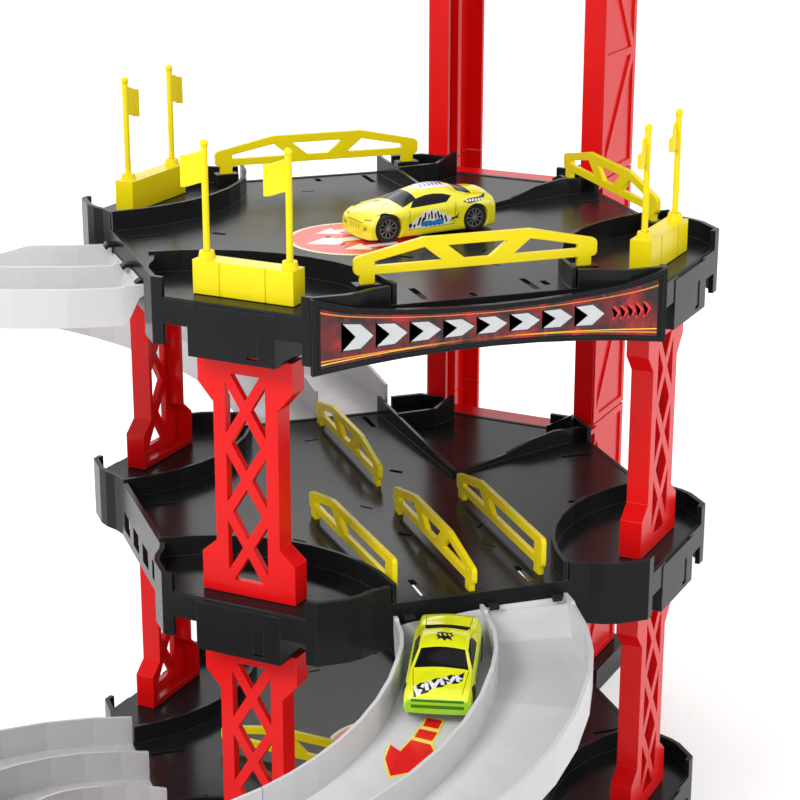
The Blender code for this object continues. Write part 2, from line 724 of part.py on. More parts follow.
def gate_base_mesh():
    """A low wall with a raised boss at each end for a flag pole, and a tenon below."""
    half = GATE_LENGTH / 2
    deep = GATE_DEPTH
    core = box((-half, 0.0, 0.0), (half, deep, GATE_HEIGHT))
    middle = deep / 2
    parts = []
    for side in (-1, 1):
        x = side * POLE_SPACING / 2
        place = Matrix.Translation((x, middle, GATE_HEIGHT + BOSS_RISE / 2 - 0.0005))
        parts.append(cylinder(POLE_BOSS[0], BOSS_RISE + 0.001, place, 12, POLE_BOSS[1]))
    tenon = box((-TENON[0] / 2, middle - TENON[1] / 2, -TENON[2]),
                (TENON[0] / 2, middle + TENON[1] / 2, 0.002))
    body = join(core, parts + [tenon])
    cuts = []
    for side in (-1, 1):
        x = side * POLE_SPACING / 2
        place = Matrix.Translation((x, middle, GATE_HEIGHT + BOSS_RISE - 0.004))
        cuts.append(cylinder(POLE_RADIUS + GAP, 0.010, place, 10))
        groove = side * (half - 0.0125)
        cuts.append(box((groove - 0.0004, -0.001, -0.001), (groove + 0.0004, 0.0005, 0.015)))
    return cut(body, cuts)


def flag_pole_mesh(taper):
    """A pole with a ball on top and a waved flag that points to the left."""
    seat = GATE_HEIGHT + BOSS_RISE - 0.009 + GAP
    top = GATE_HEIGHT + BOSS_RISE + POLE_HEIGHT
    rod = cylinder(POLE_RADIUS, top - seat, Matrix.Translation((0, 0, (seat + top) / 2)), 10)
    parts = [ball(POLE_BALL, (0, 0, top))]
    work = bmesh.new()
    rows = []
    steps = 6
    for i in range(steps + 1):
        t = i / steps
        x = -t * FLAG_WIDTH
        y = FLAG_WAVE * math.sin(2 * math.pi * t)
        shrink = taper * t * FLAG_HEIGHT / 2
        high = top - FLAG_SET - FLAG_FALL * t * t * (3 - 2 * t)
        rows.append((work.verts.new((x, y, high - FLAG_HEIGHT + shrink)),
                     work.verts.new((x, y, high - shrink))))
    for i in range(steps):
        work.faces.new((rows[i][0], rows[i + 1][0], rows[i + 1][1], rows[i][1]))
    flag = from_bmesh(work)
    shell = flag.modifiers.new("thickness", "SOLIDIFY")
    shell.thickness = FLAG_THICK
    shell.offset = 0.0
    parts.append(baked(flag))
    return join(rod, parts)


def build_gates():
    base = gate_base_mesh()
    plain = flag_pole_mesh(0.0)
    pointed = flag_pole_mesh(0.55)
    height = FLOORS[2] + GAP
    inward = CHAMFER_N - PILLAR_SET - (PILLAR_DEPTH - GATE_DEPTH) / 2
    for corner, angle in STATIONS.items():
        item = link_mesh(base.data.copy())
        item.matrix_world = facing(angle, inward, height)
        finish(item, f"gate_base_{corner}", YELLOW)
        for end, side in (("left", -1), ("right", 1)):
            shape = pointed if corner == "front_right" else plain
            pole = link_mesh(shape.data.copy())
            place = Matrix.Translation((side * POLE_SPACING / 2, GATE_DEPTH / 2, 0))
            pole.matrix_world = facing(angle, inward, height) @ place
            finish(pole, f"flag_pole_{corner}_{end}", YELLOW)
    for item in (base, plain, pointed):
        bpy.data.objects.remove(item, do_unlink=True)


def build_sign():
    """The board across the front of the top deck: arched below, dipped above, recessed face."""
    half = SIGN_HALF
    steps = 8
    low = []
    high = []
    for i in range(steps + 1):
        x = -half + 2 * half * i / steps
        t = 1 - (x / half) ** 2
        low.append((x, SIGN_ARCH * t))
        high.append((x, SIGN_HEIGHT - SIGN_DIP * t ** 0.6 if 0 < i < steps else SIGN_HEIGHT))
    edge = low + list(reversed(high))
    board = upright([edge], SIGN_THICK)
    face = upright([inset(edge, SIGN_FRAME)], SIGN_RECESS * 2)
    moved(face, Matrix.Translation((0, -SIGN_THICK / 2, 0)))
    board = cut(board, [face])
    depth = DECK_HALF + GAP + SIGN_THICK / 2
    board.location = (0, -depth, FLOORS[2] - STATION_DEPTH)
    finish(board, "sign_board", BLACK)


RAMP_ENTRY = math.degrees(math.asin((PORT_LINE - RAMP_RADIUS) / RAMP_RADIUS))
RAMP_TURN = 270 - 2 * RAMP_ENTRY
RAMP_DROP = LEVEL_RISE - RAMP_START_DROP


def ramp_height(turn):
    """Height of the lanes from the upper deck's floor, at a turn in degrees from the start."""
    line = -RAMP_START_DROP - RAMP_DROP * (turn - RAMP_ENTRY) / RAMP_TURN
    share = math.radians(turn - RAMP_ENTRY) * RAMP_RADIUS / LIP_RUN
    share = min(1.0, max(0.0, share))
    lip = -RAMP_EDGE_DROP - (LIP_DROP - RAMP_EDGE_DROP) * share * share * (3 - 2 * share)
    return min(line, lip) if share else -RAMP_EDGE_DROP


def ramp_section():
    """The two lanes' channel section: a floor with a wall at each edge and in the middle."""
    out = LANE + RAMP_WALL / 2
    inn = LANE - RAMP_WALL / 2
    half = RAMP_WALL / 2
    top = RAMP_WALL_HEIGHT
    right = [(out, -RAMP_FLOOR), (out, top), (inn, top), (inn, 0.0), (half, 0.0), (half, top)]
    return right + [(-x, y) for x, y in reversed(right)]


def ramp_turns(first, last):
    """Where the sections stand: close together on the lip, evenly spaced elsewhere."""
    if first > 0:
        return [first + (last - first) * i / RAMP_STEPS for i in range(RAMP_STEPS + 1)]
    lip_end = RAMP_ENTRY + math.degrees(LIP_RUN / RAMP_RADIUS)
    fine = LIP_STEPS - RAMP_STEPS
    turns = [RAMP_ENTRY + (lip_end - RAMP_ENTRY) * i / fine for i in range(fine + 1)]
    rest = [lip_end + (last - lip_end) * i / RAMP_STEPS for i in range(1, RAMP_STEPS + 1)]
    return [first] + turns + rest


def ramp_segment(start, end):
    """A stretch of the helix between two turns in degrees, cut square at the ports."""
    trim = math.degrees(GAP / 2 / (RAMP_RADIUS - LANE))
    first = start + (trim if start > 0 else 0)
    last = end - (trim if end < 270 else 0)
    rows = []
    work = bmesh.new()
    for turn in ramp_turns(first, last):
        angle = math.radians(-turn)
        rows.append([work.verts.new(((RAMP_RADIUS + out) * math.cos(angle),
                                     (RAMP_RADIUS + out) * math.sin(angle),
                                     up + ramp_height(turn))) for out, up in ramp_section()])
    for near, far in zip(rows, rows[1:]):
        for i in range(len(near)):
            work.faces.new((near[i - 1], near[i], far[i], far[i - 1]))
    work.faces.new(rows[0])
    work.faces.new(list(reversed(rows[-1])))
    bmesh.ops.triangulate(work, faces=[face for face in work.faces if len(face.verts) == 4])
    bmesh.ops.recalc_face_normals(work, faces=work.faces)
    item = moved(from_bmesh(work), Matrix.Translation((-RAMP_RADIUS, -RAMP_RADIUS, 0)))
    reach = RAMP_RADIUS * 2
    edge = PORT_LINE + GAP
    if start == 0:
        lid = box((-reach, -reach, -RAMP_TOP_DROP), (reach, 0.0, LEVEL_RISE))
        port = box((-reach / 2, -edge, -LEVEL_RISE), (reach / 2, LANE, LEVEL_RISE))
        item = cut(item, [lid, port])
    if end == 270:
        port = box((-edge, -reach / 2, -2 * LEVEL_RISE), (LANE, reach / 2, LEVEL_RISE))
        item = cut(item, [port])
    return item


def build_ramps():
    """Both ramps are the same three mouldings; the upper ones are turned by a quarter."""
    for number in range(3):
        piece = ramp_segment(90 * number, 90 * (number + 1))
        for name, level, turn in (("lower_ramp", 1, 0), ("upper_ramp", 2, -90)):
            item = link_mesh(piece.data.copy())
            item.location.z = FLOORS[level]
            item.rotation_euler.z = math.radians(turn)
            finish(item, f"{name}_{number + 1}", GREY)
        bpy.data.objects.remove(piece, do_unlink=True)


def column_section(side):
    """A channel open to the shaft, with the guide rib on its web; x across, y to the back."""
    inn = SHAFT_HALF
    out = COLUMN_OUT
    low = COLUMN_FRONT
    high = COLUMN_BACK
    web = out - COLUMN_WALL
    middle = (low + high) / 2
    wide, proud = GUIDE_RIB
    points = [(inn, low), (out, low), (out, high), (inn, high), (inn, high - COLUMN_FLANGE),
              (web, high - COLUMN_FLANGE), (web, middle + wide / 2),
              (web - proud, middle + wide / 2), (web - proud, middle - wide / 2),
              (web, middle - wide / 2), (web, low + COLUMN_FLANGE), (inn, low + COLUMN_FLANGE)]
    return [(side * x, y) for x, y in points]


def column_panel(side, low, high):
    """The outer panel's border and its zigzag of ribs, proud of the web."""
    front = COLUMN_FRONT + 0.0004
    back = COLUMN_BACK - 0.0004
    rib = PANEL_RIB
    edge = [(front, low), (back, low), (back, high), (front, high)]
    height = (high - low - rib) / 2
    holes = []
    for bay in range(2):
        bottom = low + rib + bay * height
        top = bottom + height - rib
        near = front + rib
        far = back - rib
        slant = rib * 0.9
        if bay % 2:
            holes.append([(near, bottom), (far - slant, bottom), (near, top - slant)])
            holes.append([(far, bottom + slant), (far, top), (near + slant, top)])
        else:
            holes.append([(near + slant, bottom), (far, bottom), (far, top - slant)])
            holes.append([(near, bottom + slant), (far - slant, top), (near, top)])
    plate = outline([edge] + holes, -PANEL_PROUD / 2, PANEL_PROUD / 2)
    stand = Matrix(((0, 0, 1, 0), (1, 0, 0, 0), (0, 1, 0, 0), (0, 0, 0, 1)))
    moved(plate, stand)
    out = COLUMN_OUT + PANEL_PROUD / 2 - 0.0002
    return moved(plate, Matrix.Translation((side * out, 0, 0)))


def build_tower():
    """Two channel columns in three lengths each, on a base, joined by a cap."""
    turn = Matrix.Rotation(math.radians(BACK_RIGHT - 180), 4, "Z")
    breaks = [BASE_HEIGHT + GAP, FLOORS[1], FLOORS[2], TOWER_TOP]
    for hand, side in (("right", 1), ("left", -1)):
        for number in range(3):
            low = breaks[number] + (GAP / 2 if number else 0)
            high = breaks[number + 1] - (GAP / 2 if number < 2 else 0)
            body = outline([column_section(side)], low, high)
            panel = column_panel(side, low + 0.0003, high - 0.0003)
            body = join(body, [panel])
            body.matrix_world = turn
            finish(body, f"tower_column_{hand}_{number + 1}", RED)

    base = box((-BASE_HALF, COLUMN_FRONT, 0.0), (BASE_HALF, BASE_END, BASE_HEIGHT))
    wall = BASE_WALL
    hollow = box((-BASE_HALF + wall, COLUMN_FRONT + wall, -0.001),
                 (BASE_HALF - wall, BASE_END - wall, BASE_HEIGHT - wall))
    base = cut(base, [hollow])
    base.matrix_world = turn
    finish(base, "tower_base", BLACK)

    out = COLUMN_OUT + PANEL_PROUD + CAP_THICK / 2
    front = COLUMN_FRONT - CAP_THICK / 2
    back = COLUMN_BACK + CAP_THICK / 2
    cap = box((-out, front, TOWER_TOP - CAP_LIP), (out, back, TOWER_TOP + CAP_THICK))
    room = box((-COLUMN_OUT - PANEL_PROUD - GAP, COLUMN_FRONT - GAP, TOWER_TOP - CAP_LIP - 0.001),
               (COLUMN_OUT + PANEL_PROUD + GAP, COLUMN_BACK + GAP, TOWER_TOP + GAP))
    cap = cut(cap, [room])
    cap.matrix_world = turn
    finish(cap, "tower_cap", RED)

    near = LANDING_N + GAP
    far = near + SILL_DEPTH
    for storey, level in (("middle", 1), ("top", 2)):
        floor = FLOORS[level]
        sill = box((-SILL_HALF, near, floor - SILL_THICK), (SILL_HALF, far, floor))
        lips = [box((-SILL_HALF + 0.0002, near + 0.0002, floor - SILL_HEIGHT),
                    (SILL_HALF - 0.0002, near + SILL_THICK, floor - 0.0010)),
                box((-SILL_HALF + 0.0004, far - SILL_THICK, floor - SILL_HEIGHT),
                    (SILL_HALF - 0.0004, far - 0.0002, floor - 0.0012))]
        for share in (-0.62, -0.2, 0.2, 0.62):
            x = share * SILL_HALF
            lips.append(box((x - 0.0008, near + 0.001, floor - SILL_HEIGHT + 0.0008),
                            (x + 0.0008, far - 0.001, floor - 0.0014)))
        sill = join(sill, lips)
        sill.matrix_world = turn
        finish(sill, f"{storey}_sill", RED)


def build_carriage():
    """The lift's platform with side walls, two shoes that straddle the guide ribs, a handle."""
    turn = Matrix.Rotation(math.radians(BACK_RIGHT - 180), 4, "Z")
    front = COLUMN_FRONT + RUN
    back = front + CARRIAGE_LENGTH
    half = CARRIAGE_HALF
    floor = FLOORS[0]
    body = box((-half, front, floor - CARRIAGE_SKIRT), (half, back, floor + CARRIAGE_SIDE))
    wall = CARRIAGE_WALL
    tray = box((-half + wall, front - 0.001, floor), (half - wall, back - wall, floor + 0.02))
    under = box((-half + wall, front + wall, floor - 0.02),
                (half - wall, back - wall, floor - CARRIAGE_FLOOR))
    body = cut(body, [tray, under])
    middle = (COLUMN_FRONT + COLUMN_BACK) / 2
    wide, proud = GUIDE_RIB
    parts = []
    for side in (-1, 1):
        near = side * (half - 0.0008)
        far = side * (COLUMN_OUT - COLUMN_WALL - RUN)
        low, high = sorted((near, far))
        for part in (-1, 1):
            inner = middle + part * (wide / 2 + RUN)
            outer = middle + part * (COLUMN_LENGTH / 2 - COLUMN_FLANGE - RUN)
            y0, y1 = sorted((inner, outer))
            parts.append(box((low, y0, floor - 0.008), (high, y1, floor + CARRIAGE_SIDE - 0.0005)))
    grip_wide, grip_out, grip_high = HANDLE
    parts.append(box((-grip_wide / 2, back - 0.001, floor - 0.004),
                     (grip_wide / 2, back + grip_out, floor - 0.004 + grip_high)))
    body = join(body, parts)
    body.matrix_world = turn
    finish(body, "lift_carriage", YELLOW)


# Car sections from tail to nose: place along the car, and how far the side lies in from the widest
# part; the belt's and the top's height; how far the top's edge lies in
CAR_STATIONS = [
    (-CAR_BACK, 0.0026, 0.0126, 0.0142, 0.0039),
    (-CAR_BACK + 0.0020, 0.0010, 0.0141, 0.0162, 0.0028),
    (-CAR_BACK + 0.0090, 0.0, 0.0153, 0.0175, 0.0026),
    (-0.0165, 0.0, 0.0153, 0.0185, 0.0040),
    (-0.0090, 0.0, 0.0148, 0.0211, 0.0050),
    (-0.0010, 0.0, 0.0146, 0.0217, 0.0050),
    (0.0055, 0.0, 0.0144, 0.0206, 0.0050),
    (0.0150, 0.0, 0.0142, 0.0157, 0.0030),
    (CAR_FRONT - 0.0080, 0.0002, 0.0133, 0.0146, 0.0030),
    (CAR_FRONT - 0.0026, 0.0010, 0.0112, 0.0126, 0.0035),
    (CAR_FRONT, 0.0028, 0.0086, 0.0099, 0.0045),
]
SCREEN_SLOPE = slice(6, 8)  # the two stations that the windscreen lies between


def car_section(station, shrink, bottom):
    x, side_in, belt, top, crown_in = station
    half = CAR_HALF_WIDTH - side_in - shrink
    crown = CAR_HALF_WIDTH - crown_in - shrink
    top -= shrink
    if shrink:
        side = [(half - 0.0008, bottom)]
    else:
        side = [(half - 0.0010, bottom), (half, bottom + 0.0024), (half, belt - 0.0020),
                (half - 0.0008, belt)]
    right = side + [(crown, top - 0.0012), (crown - 0.0022, top), (0.0, top + 0.0003)]
    return [(x, y, z) for y, z in right] + [(x, -y, z) for y, z in reversed(right[:-1])]


def between(first, second, share):
    return tuple(a + (b - a) * share for a, b in zip(first, second))


def loft(sections, closed):
    """A skin over the sections with both ends filled; a closed one has a floor as well."""
    work = bmesh.new()
    rows = [[work.verts.new(point) for point in section] for section in sections]
    count = len(rows[0])
    for near, far in zip(rows, rows[1:]):
        for i in range(count if closed else count - 1):
            j = (i + 1) % count
            work.faces.new((near[i], near[j], far[j], far[i]))
    work.faces.new(list(reversed(rows[0])))
    work.faces.new(rows[-1])
    bmesh.ops.recalc_face_normals(work, faces=work.faces)
    return from_bmesh(work)


def car_shell_mesh():
    """The car's body: a hollow skin, open below, with wheel arches and window openings."""
    skin = loft([car_section(s, 0.0, CAR_BOTTOM) for s in CAR_STATIONS], False)
    shell = skin.modifiers.new("thickness", "SOLIDIFY")
    shell.thickness = CAR_WALL
    shell.offset = -1.0
    shell.use_even_offset = True
    body = baked(skin)
    cuts = []
    for x in (-WHEELBASE / 2, WHEELBASE / 2):
        place = Matrix.Translation((x, 0, WHEEL_RADIUS)) @ Matrix.Rotation(math.pi / 2, 4, "X")
        cuts.append(cylinder(WHEEL_RADIUS + ARCH_CLEAR, 4 * CAR_HALF_WIDTH, place, 14))
    side = [(-0.0120, 0.0164), (0.0102, 0.0153), (0.0042, 0.0187), (-0.0010, 0.0197),
            (-0.0070, 0.0191)]
    cuts.append(upright([side], 4 * CAR_HALF_WIDTH))
    return cut(body, cuts)


def window_cutters():
    """Slanted blocks through the windscreen and the rear window."""
    glass = [(0.0058, 0.0190), (0.0142, 0.0148), (0.0165, 0.0190), (0.0085, 0.0225)]
    rear = [(-0.0105, 0.0194), (-0.0180, 0.0168), (-0.0200, 0.0210), (-0.0125, 0.0230)]
    width = 2 * (CAR_HALF_WIDTH - WINDOW_PILLAR)
    return [upright([glass], width), upright([list(reversed(rear))], width)]


def build_car(name, paint, place, size):
    scale = Matrix.Scale(size, 4)
    shell = moved(cut(car_shell_mesh(), window_cutters()), scale)
    shell.matrix_world = place
    finish(shell, f"{name}_body", paint)

    inside = CAR_WALL + GLASS_GAP
    roof = [between(*CAR_STATIONS[2:4], 0.4)] + CAR_STATIONS[3:7]
    roof.append(between(*CAR_STATIONS[SCREEN_SLOPE], 0.65))
    cabin = [car_section(s, inside, CABIN_FLOOR + GAP) for s in roof]
    glass = moved(loft(cabin, True), scale)
    glass.matrix_world = place
    finish(glass, f"{name}_windows", SMOKED)

    inset_end = CAR_WALL + SPINE_END_CLEAR
    spine = box((-CAR_BACK + inset_end, -SPINE_HALF, CAR_BOTTOM),
                (CAR_FRONT - inset_end, SPINE_HALF, SPINE_TOP))
    sill_half = CAR_HALF_WIDTH - CAR_WALL - GAP - 0.0010
    clear = WHEELBASE / 2 - WHEEL_RADIUS - ARCH_CLEAR
    sills = box((-clear, -sill_half, CAR_BOTTOM + 0.0001), (clear, sill_half, SPINE_TOP - 0.003))
    seat = box((-0.019, -SPINE_HALF + 0.0002, SPINE_TOP - 0.001),
               (0.011, SPINE_HALF - 0.0002, CABIN_FLOOR))
    chassis = join(spine, [sills, seat])
    cuts = []
    for x in (-WHEELBASE / 2, WHEELBASE / 2):
        axle = Matrix.Translation((x, 0, WHEEL_RADIUS)) @ Matrix.Rotation(math.pi / 2, 4, "X")
        cuts.append(cylinder(AXLE_RADIUS + GAP, 4 * CAR_HALF_WIDTH, axle, 8))
    chassis = moved(cut(chassis, cuts), scale)
    chassis.matrix_world = place
    finish(chassis, f"{name}_chassis", RUBBER)

    for end, x in (("rear", -WHEELBASE / 2), ("front", WHEELBASE / 2)):
        lie = Matrix.Rotation(math.pi / 2, 4, "X")
        rod = cylinder(AXLE_RADIUS, 2 * (TREAD_HALF - 0.001), lie, 8)
        wheels = []
        for side in (-1, 1):
            y = side * (TREAD_HALF - WHEEL_WIDTH / 2)
            wheel = cylinder(WHEEL_RADIUS, WHEEL_WIDTH, Matrix.Translation((0, y, 0)) @ lie, 16)
            edge = wheel.modifiers.new("edge", "BEVEL")
            edge.width = 0.0005
            edge.segments = 1
            edge.limit_method = "ANGLE"
            wheel = baked(wheel)
            hub = cylinder(0.0031, 0.001, Matrix.Translation((0, side * TREAD_HALF, 0)) @ lie, 8)
            wheels.append(cut(wheel, [hub]))
        axle = moved(join(rod, wheels), scale)
        axle.matrix_world = place @ Matrix.Translation((x * size, 0, WHEEL_RADIUS * size))
        finish(axle, f"{name}_{end}_wheels", RUBBER)


def ramp_car_place():
    """Where the second car stands: in the left lane of the lower ramp, nose down."""
    radius = RAMP_RADIUS - LANE / 2 + CAR_OUTSET

    def on_ramp(turn, reach):
        angle = math.radians(turn)
        return Vector((reach * math.cos(angle) - RAMP_RADIUS,
                       -reach * math.sin(angle) - RAMP_RADIUS, ramp_height(turn)))

    middle_turn = RAMP_ENTRY + math.degrees(CAR_BELOW_PORT / radius)
    axles = WHEELBASE / 2 * LIME_CAR_SIZE
    tread = TREAD_HALF * LIME_CAR_SIZE
    half = math.degrees(axles / radius)
    tail = on_ramp(middle_turn - half, radius)
    nose = on_ramp(middle_turn + half, radius)
    ahead = (nose - tail).normalized()
    left = Vector((0, 0, 1)).cross(ahead).normalized()
    up = ahead.cross(left)
    frame = Matrix((ahead, left, up)).transposed()
    middle = (tail + nose) / 2
    lift = 0.0
    for x in (-axles, axles):
        for y in (-tread, tread):
            spot = middle + frame @ Vector((x, y, 0))
            dx = spot.x + RAMP_RADIUS
            dy = spot.y + RAMP_RADIUS
            turn = math.degrees(math.atan2(-dy, dx))
            lift = max(lift, ramp_height(turn) - spot.z)
    middle.z += FLOORS[1] + lift + CAR_ON_RAMP_GAP
    return Matrix.Translation(middle) @ frame.to_4x4()


def build_cars():
    height = FLOORS[2] + GAP
    spot = Matrix.Translation((*DECK_CAR, height)) @ Matrix.Rotation(
        math.radians(DECK_CAR_HEADING), 4, "Z")
    build_car("yellow_car", YELLOW_PAINT, spot, 1.0)
    build_car("lime_car", LIME_PAINT, ramp_car_place(), LIME_CAR_SIZE)


def main():
    clear_scene()
    build_deck("ground_deck", 0, (), False)
    build_deck("middle_deck", 1, (3,), False)
    build_deck("top_deck", 2, (), True)
    build_pillars()
    build_rails()
    build_gates()
    build_sign()
    build_ramps()
    build_tower()
    build_carriage()
    build_cars()


main()
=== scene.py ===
"""The looks of the toy parking garage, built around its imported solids."""
import json
import math

import bmesh
import bpy
from mathutils import Matrix, Vector


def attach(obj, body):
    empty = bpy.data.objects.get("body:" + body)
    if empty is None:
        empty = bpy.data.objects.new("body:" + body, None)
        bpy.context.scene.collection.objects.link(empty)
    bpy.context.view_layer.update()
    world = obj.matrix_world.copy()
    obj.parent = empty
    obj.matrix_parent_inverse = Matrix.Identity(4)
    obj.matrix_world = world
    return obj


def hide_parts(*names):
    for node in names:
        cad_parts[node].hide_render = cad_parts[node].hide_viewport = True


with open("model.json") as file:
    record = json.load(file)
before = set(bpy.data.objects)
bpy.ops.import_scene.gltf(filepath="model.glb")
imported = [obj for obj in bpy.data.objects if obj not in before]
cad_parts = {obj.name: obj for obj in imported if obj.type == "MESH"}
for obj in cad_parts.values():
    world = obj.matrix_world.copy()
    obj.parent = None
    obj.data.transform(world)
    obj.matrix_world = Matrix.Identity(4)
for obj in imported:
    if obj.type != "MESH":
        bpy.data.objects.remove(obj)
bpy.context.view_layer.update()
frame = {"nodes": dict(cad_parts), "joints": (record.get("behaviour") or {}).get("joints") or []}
NODES = frame["nodes"]

# Sizes in metres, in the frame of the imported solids
FLOORS = (0.023, 0.151, 0.279)  # the decks' upper faces, from the ground up
PORT_EDGE = 0.1195  # from a deck's middle to the edge where a ramp starts
RAMP_RADIUS = 0.1155
RAMP_TURN = 270.0
RAMP_STEP = 0.008  # from the deck's floor down to the ramp's first edge
RAMP_FALL = 0.120
INNER_LANE = -0.019  # from a ramp's centre line to the middle of its inner lane

# Sizes of a car at full scale, from the ground between its axles
WHEELBASE = 0.0445
WHEEL_RADIUS = 0.0060
TYRE_WIDTH = 0.0045
ARCH_RADIUS = 0.0067
ARCH_DEPTH = 0.0086
ARCH_OUT = 0.0135  # from the car's middle to the middle of a wheel arch
PANE_PROUD = 0.00010
SEAM_WIDTH = 0.00028

# How far a print looks for the body's faces: sideways, upwards and along
SIDE_REACH = 0.020
BELT = 0.0115
ROOF = 0.016
OVER_ROOF = 0.030
NOSE_END = 0.0330
TAIL_ENDS = (-0.0370, -0.0325)

LAYER = 0.00001  # prints and stickers stand off what they lie on by whole numbers of this
SPOKES = 10
RIM_STEPS = 40
HUB_DEPTH = 0.0016
RIM_DEPTH = 0.0005
FLOOR_GLOW = (0.40, 0.64)  # near the object, where its shadow falls, and far away
FLOOR_GLOW_REACH = (0.45, 1.30)
WORLD_LIGHT = (0.50, 1.0)  # as a lamp, and as seen by the camera and in reflections


class Nodes:
    """A material under construction, with short ways to add nodes and links."""

    def __init__(self, name, roughness, specular):
        self.surface = bpy.data.materials.new(name)
        self.surface.use_nodes = True
        self.tree = self.surface.node_tree
        self.shader = self.tree.nodes["Principled BSDF"]
        self.shader.inputs["Roughness"].default_value = roughness
        self.shader.inputs["Specular IOR Level"].default_value = specular
        self.coords = self.tree.nodes.new("ShaderNodeTexCoord").outputs["Object"]

    def add(self, kind, **settings):
        node = self.tree.nodes.new(kind)
        for key, value in settings.items():
            setattr(node, key, value)
        return node

    def link(self, source, target):
        self.tree.links.new(source, target)

    def noise(self, scale, detail, roughness=0.5, stretch=None):
        node = self.add("ShaderNodeTexNoise")
        node.inputs["Scale"].default_value = scale
        node.inputs["Detail"].default_value = detail
        node.inputs["Roughness"].default_value = roughness
        source = self.coords
        if stretch:
            mapping = self.add("ShaderNodeMapping")
            mapping.inputs["Scale"].default_value = stretch
            self.link(source, mapping.inputs["Vector"])
            source = mapping.outputs["Vector"]
        self.link(source, node.inputs["Vector"])
        return node.outputs["Fac"]

    def ramp(self, source, stops):
        """Colours by a value: each stop is a place and a colour."""
        node = self.add("ShaderNodeValToRGB")
        elements = node.color_ramp.elements
        while len(elements) < len(stops):
            elements.new(0.5)
        for element, (place, colour) in zip(elements, stops):
            element.position = place
            element.color = (*colour, 1.0)
        self.link(source, node.inputs["Fac"])
        return node.outputs["Color"]

    def span(self, source, low, high, start=0.3, end=0.7):
        """The source's range from start to end, spread from low to high."""
        node = self.add("ShaderNodeMapRange")
        node.inputs["From Min"].default_value = start
        node.inputs["From Max"].default_value = end
        node.inputs["To Min"].default_value = low
        node.inputs["To Max"].default_value = high
        self.link(source, node.inputs["Value"])
        return node.outputs["Result"]

    def mix(self, share, first, second):
        node = self.add("ShaderNodeMix", data_type="RGBA")
        for socket, value in ((node.inputs[0], share), (node.inputs[6], first),
                              (node.inputs[7], second)):
            if isinstance(value, (tuple, list)):
                socket.default_value = (*value, 1.0)
            elif isinstance(value, (int, float)):
                socket.default_value = value
            else:
                self.link(value, socket)
        return node.outputs[2]

    def worn(self, source, low, high):
        """Roughness that wanders between low and high."""
        self.link(self.span(source, low, high), self.shader.inputs["Roughness"])

    def bump(self, height, strength, distance, normal=None):
        node = self.add("ShaderNodeBump")
        node.inputs["Strength"].default_value = strength
        node.inputs["Distance"].default_value = distance
        self.link(height, node.inputs["Height"])
        if normal:
            self.link(normal, node.inputs["Normal"])
        self.link(node.outputs["Normal"], self.shader.inputs["Normal"])


def tint(colour, factor):
    """A colour made lighter or darker."""
    return tuple(min(1.0, channel * factor) for channel in colour)


def moulded(name, colour, roughness, specular, grain=0.00003, bevel=0.0005, vary=0.06,
            painted_edge_highlight=None):
    """Injection-moulded plastic: faint flow marks, fine grain, scratches, round edges and a painted
    highlight that makes the edges paler.
    """
    look = Nodes(name, roughness, specular)
    cloud = look.noise(38.0, 4.0, 0.55)
    base = look.ramp(cloud, [(0.30, tint(colour, 1 - vary)), (0.52, colour),
                             (0.74, tint(colour, 1 + vary))])
    look.worn(look.noise(240.0, 5.0, 0.65), roughness * 0.88, roughness * 1.14)
    fine = look.noise(2600.0, 2.0)
    scratch = look.noise(900.0, 2.0, 0.5, (1.0, 0.10, 1.0))
    total = look.add("ShaderNodeMath", operation="ADD")
    look.link(fine, total.inputs[0])
    look.link(scratch, total.inputs[1])
    edge = look.add("ShaderNodeBevel", samples=4)
    edge.inputs["Radius"].default_value = bevel
    look.bump(total.outputs[0], 0.25, grain, edge.outputs["Normal"])
    # Painted highlight: where the bevel normal turns from the face's normal, the colour blends towards
    # the paler edge colour.
    if painted_edge_highlight:
        turned = look.add("ShaderNodeVectorMath", operation="DOT_PRODUCT")
        look.link(edge.outputs["Normal"], turned.inputs[0])
        look.link(look.add("ShaderNodeNewGeometry").outputs["Normal"], turned.inputs[1])
        share = look.span(turned.outputs["Value"], 0.8, 0.0, 0.74, 0.96)
        base = look.mix(share, base, painted_edge_highlight)
    look.link(base, look.shader.inputs["Base Color"])
    return look.surface


# The edge colour of each plastic is a painted highlight along its edges.
BLACK = moulded("black_plastic", (0.013, 0.0133, 0.0145), 0.20, 0.09, grain=0.000009, vary=0.12,
                painted_edge_highlight=(0.085, 0.085, 0.09))
RED = moulded("red_plastic", (0.80, 0.006, 0.007), 0.24, 0.20, grain=0.000008, vary=0.04,
              painted_edge_highlight=(0.95, 0.05, 0.03))
YELLOW = moulded("yellow_plastic", (0.97, 0.78, 0.008), 0.25, 0.20, grain=0.000008, vary=0.03,
                 painted_edge_highlight=(1.0, 0.90, 0.06))
GREY = moulded("pale_grey_plastic", (0.66, 0.66, 0.67), 0.25, 0.35, grain=0.000006,
               bevel=0.0004, vary=0.015, painted_edge_highlight=(0.95, 0.95, 0.95))


def dress():
    """A plastic for each solid of the garage; the cars' solids are dressed or replaced later."""
    for name, node in NODES.items():
        if name.endswith("_deck") or name in ("sign_board", "tower_base"):
            surface = BLACK
        elif name.startswith(("ground_pillar", "middle_pillar", "tower_", "middle_sill",
                              "top_sill")):
            surface = RED
        elif name.startswith(("lower_ramp", "upper_ramp")):
            surface = GREY
        else:
            surface = YELLOW
        for slot in node.material_slots:
            slot.material = surface


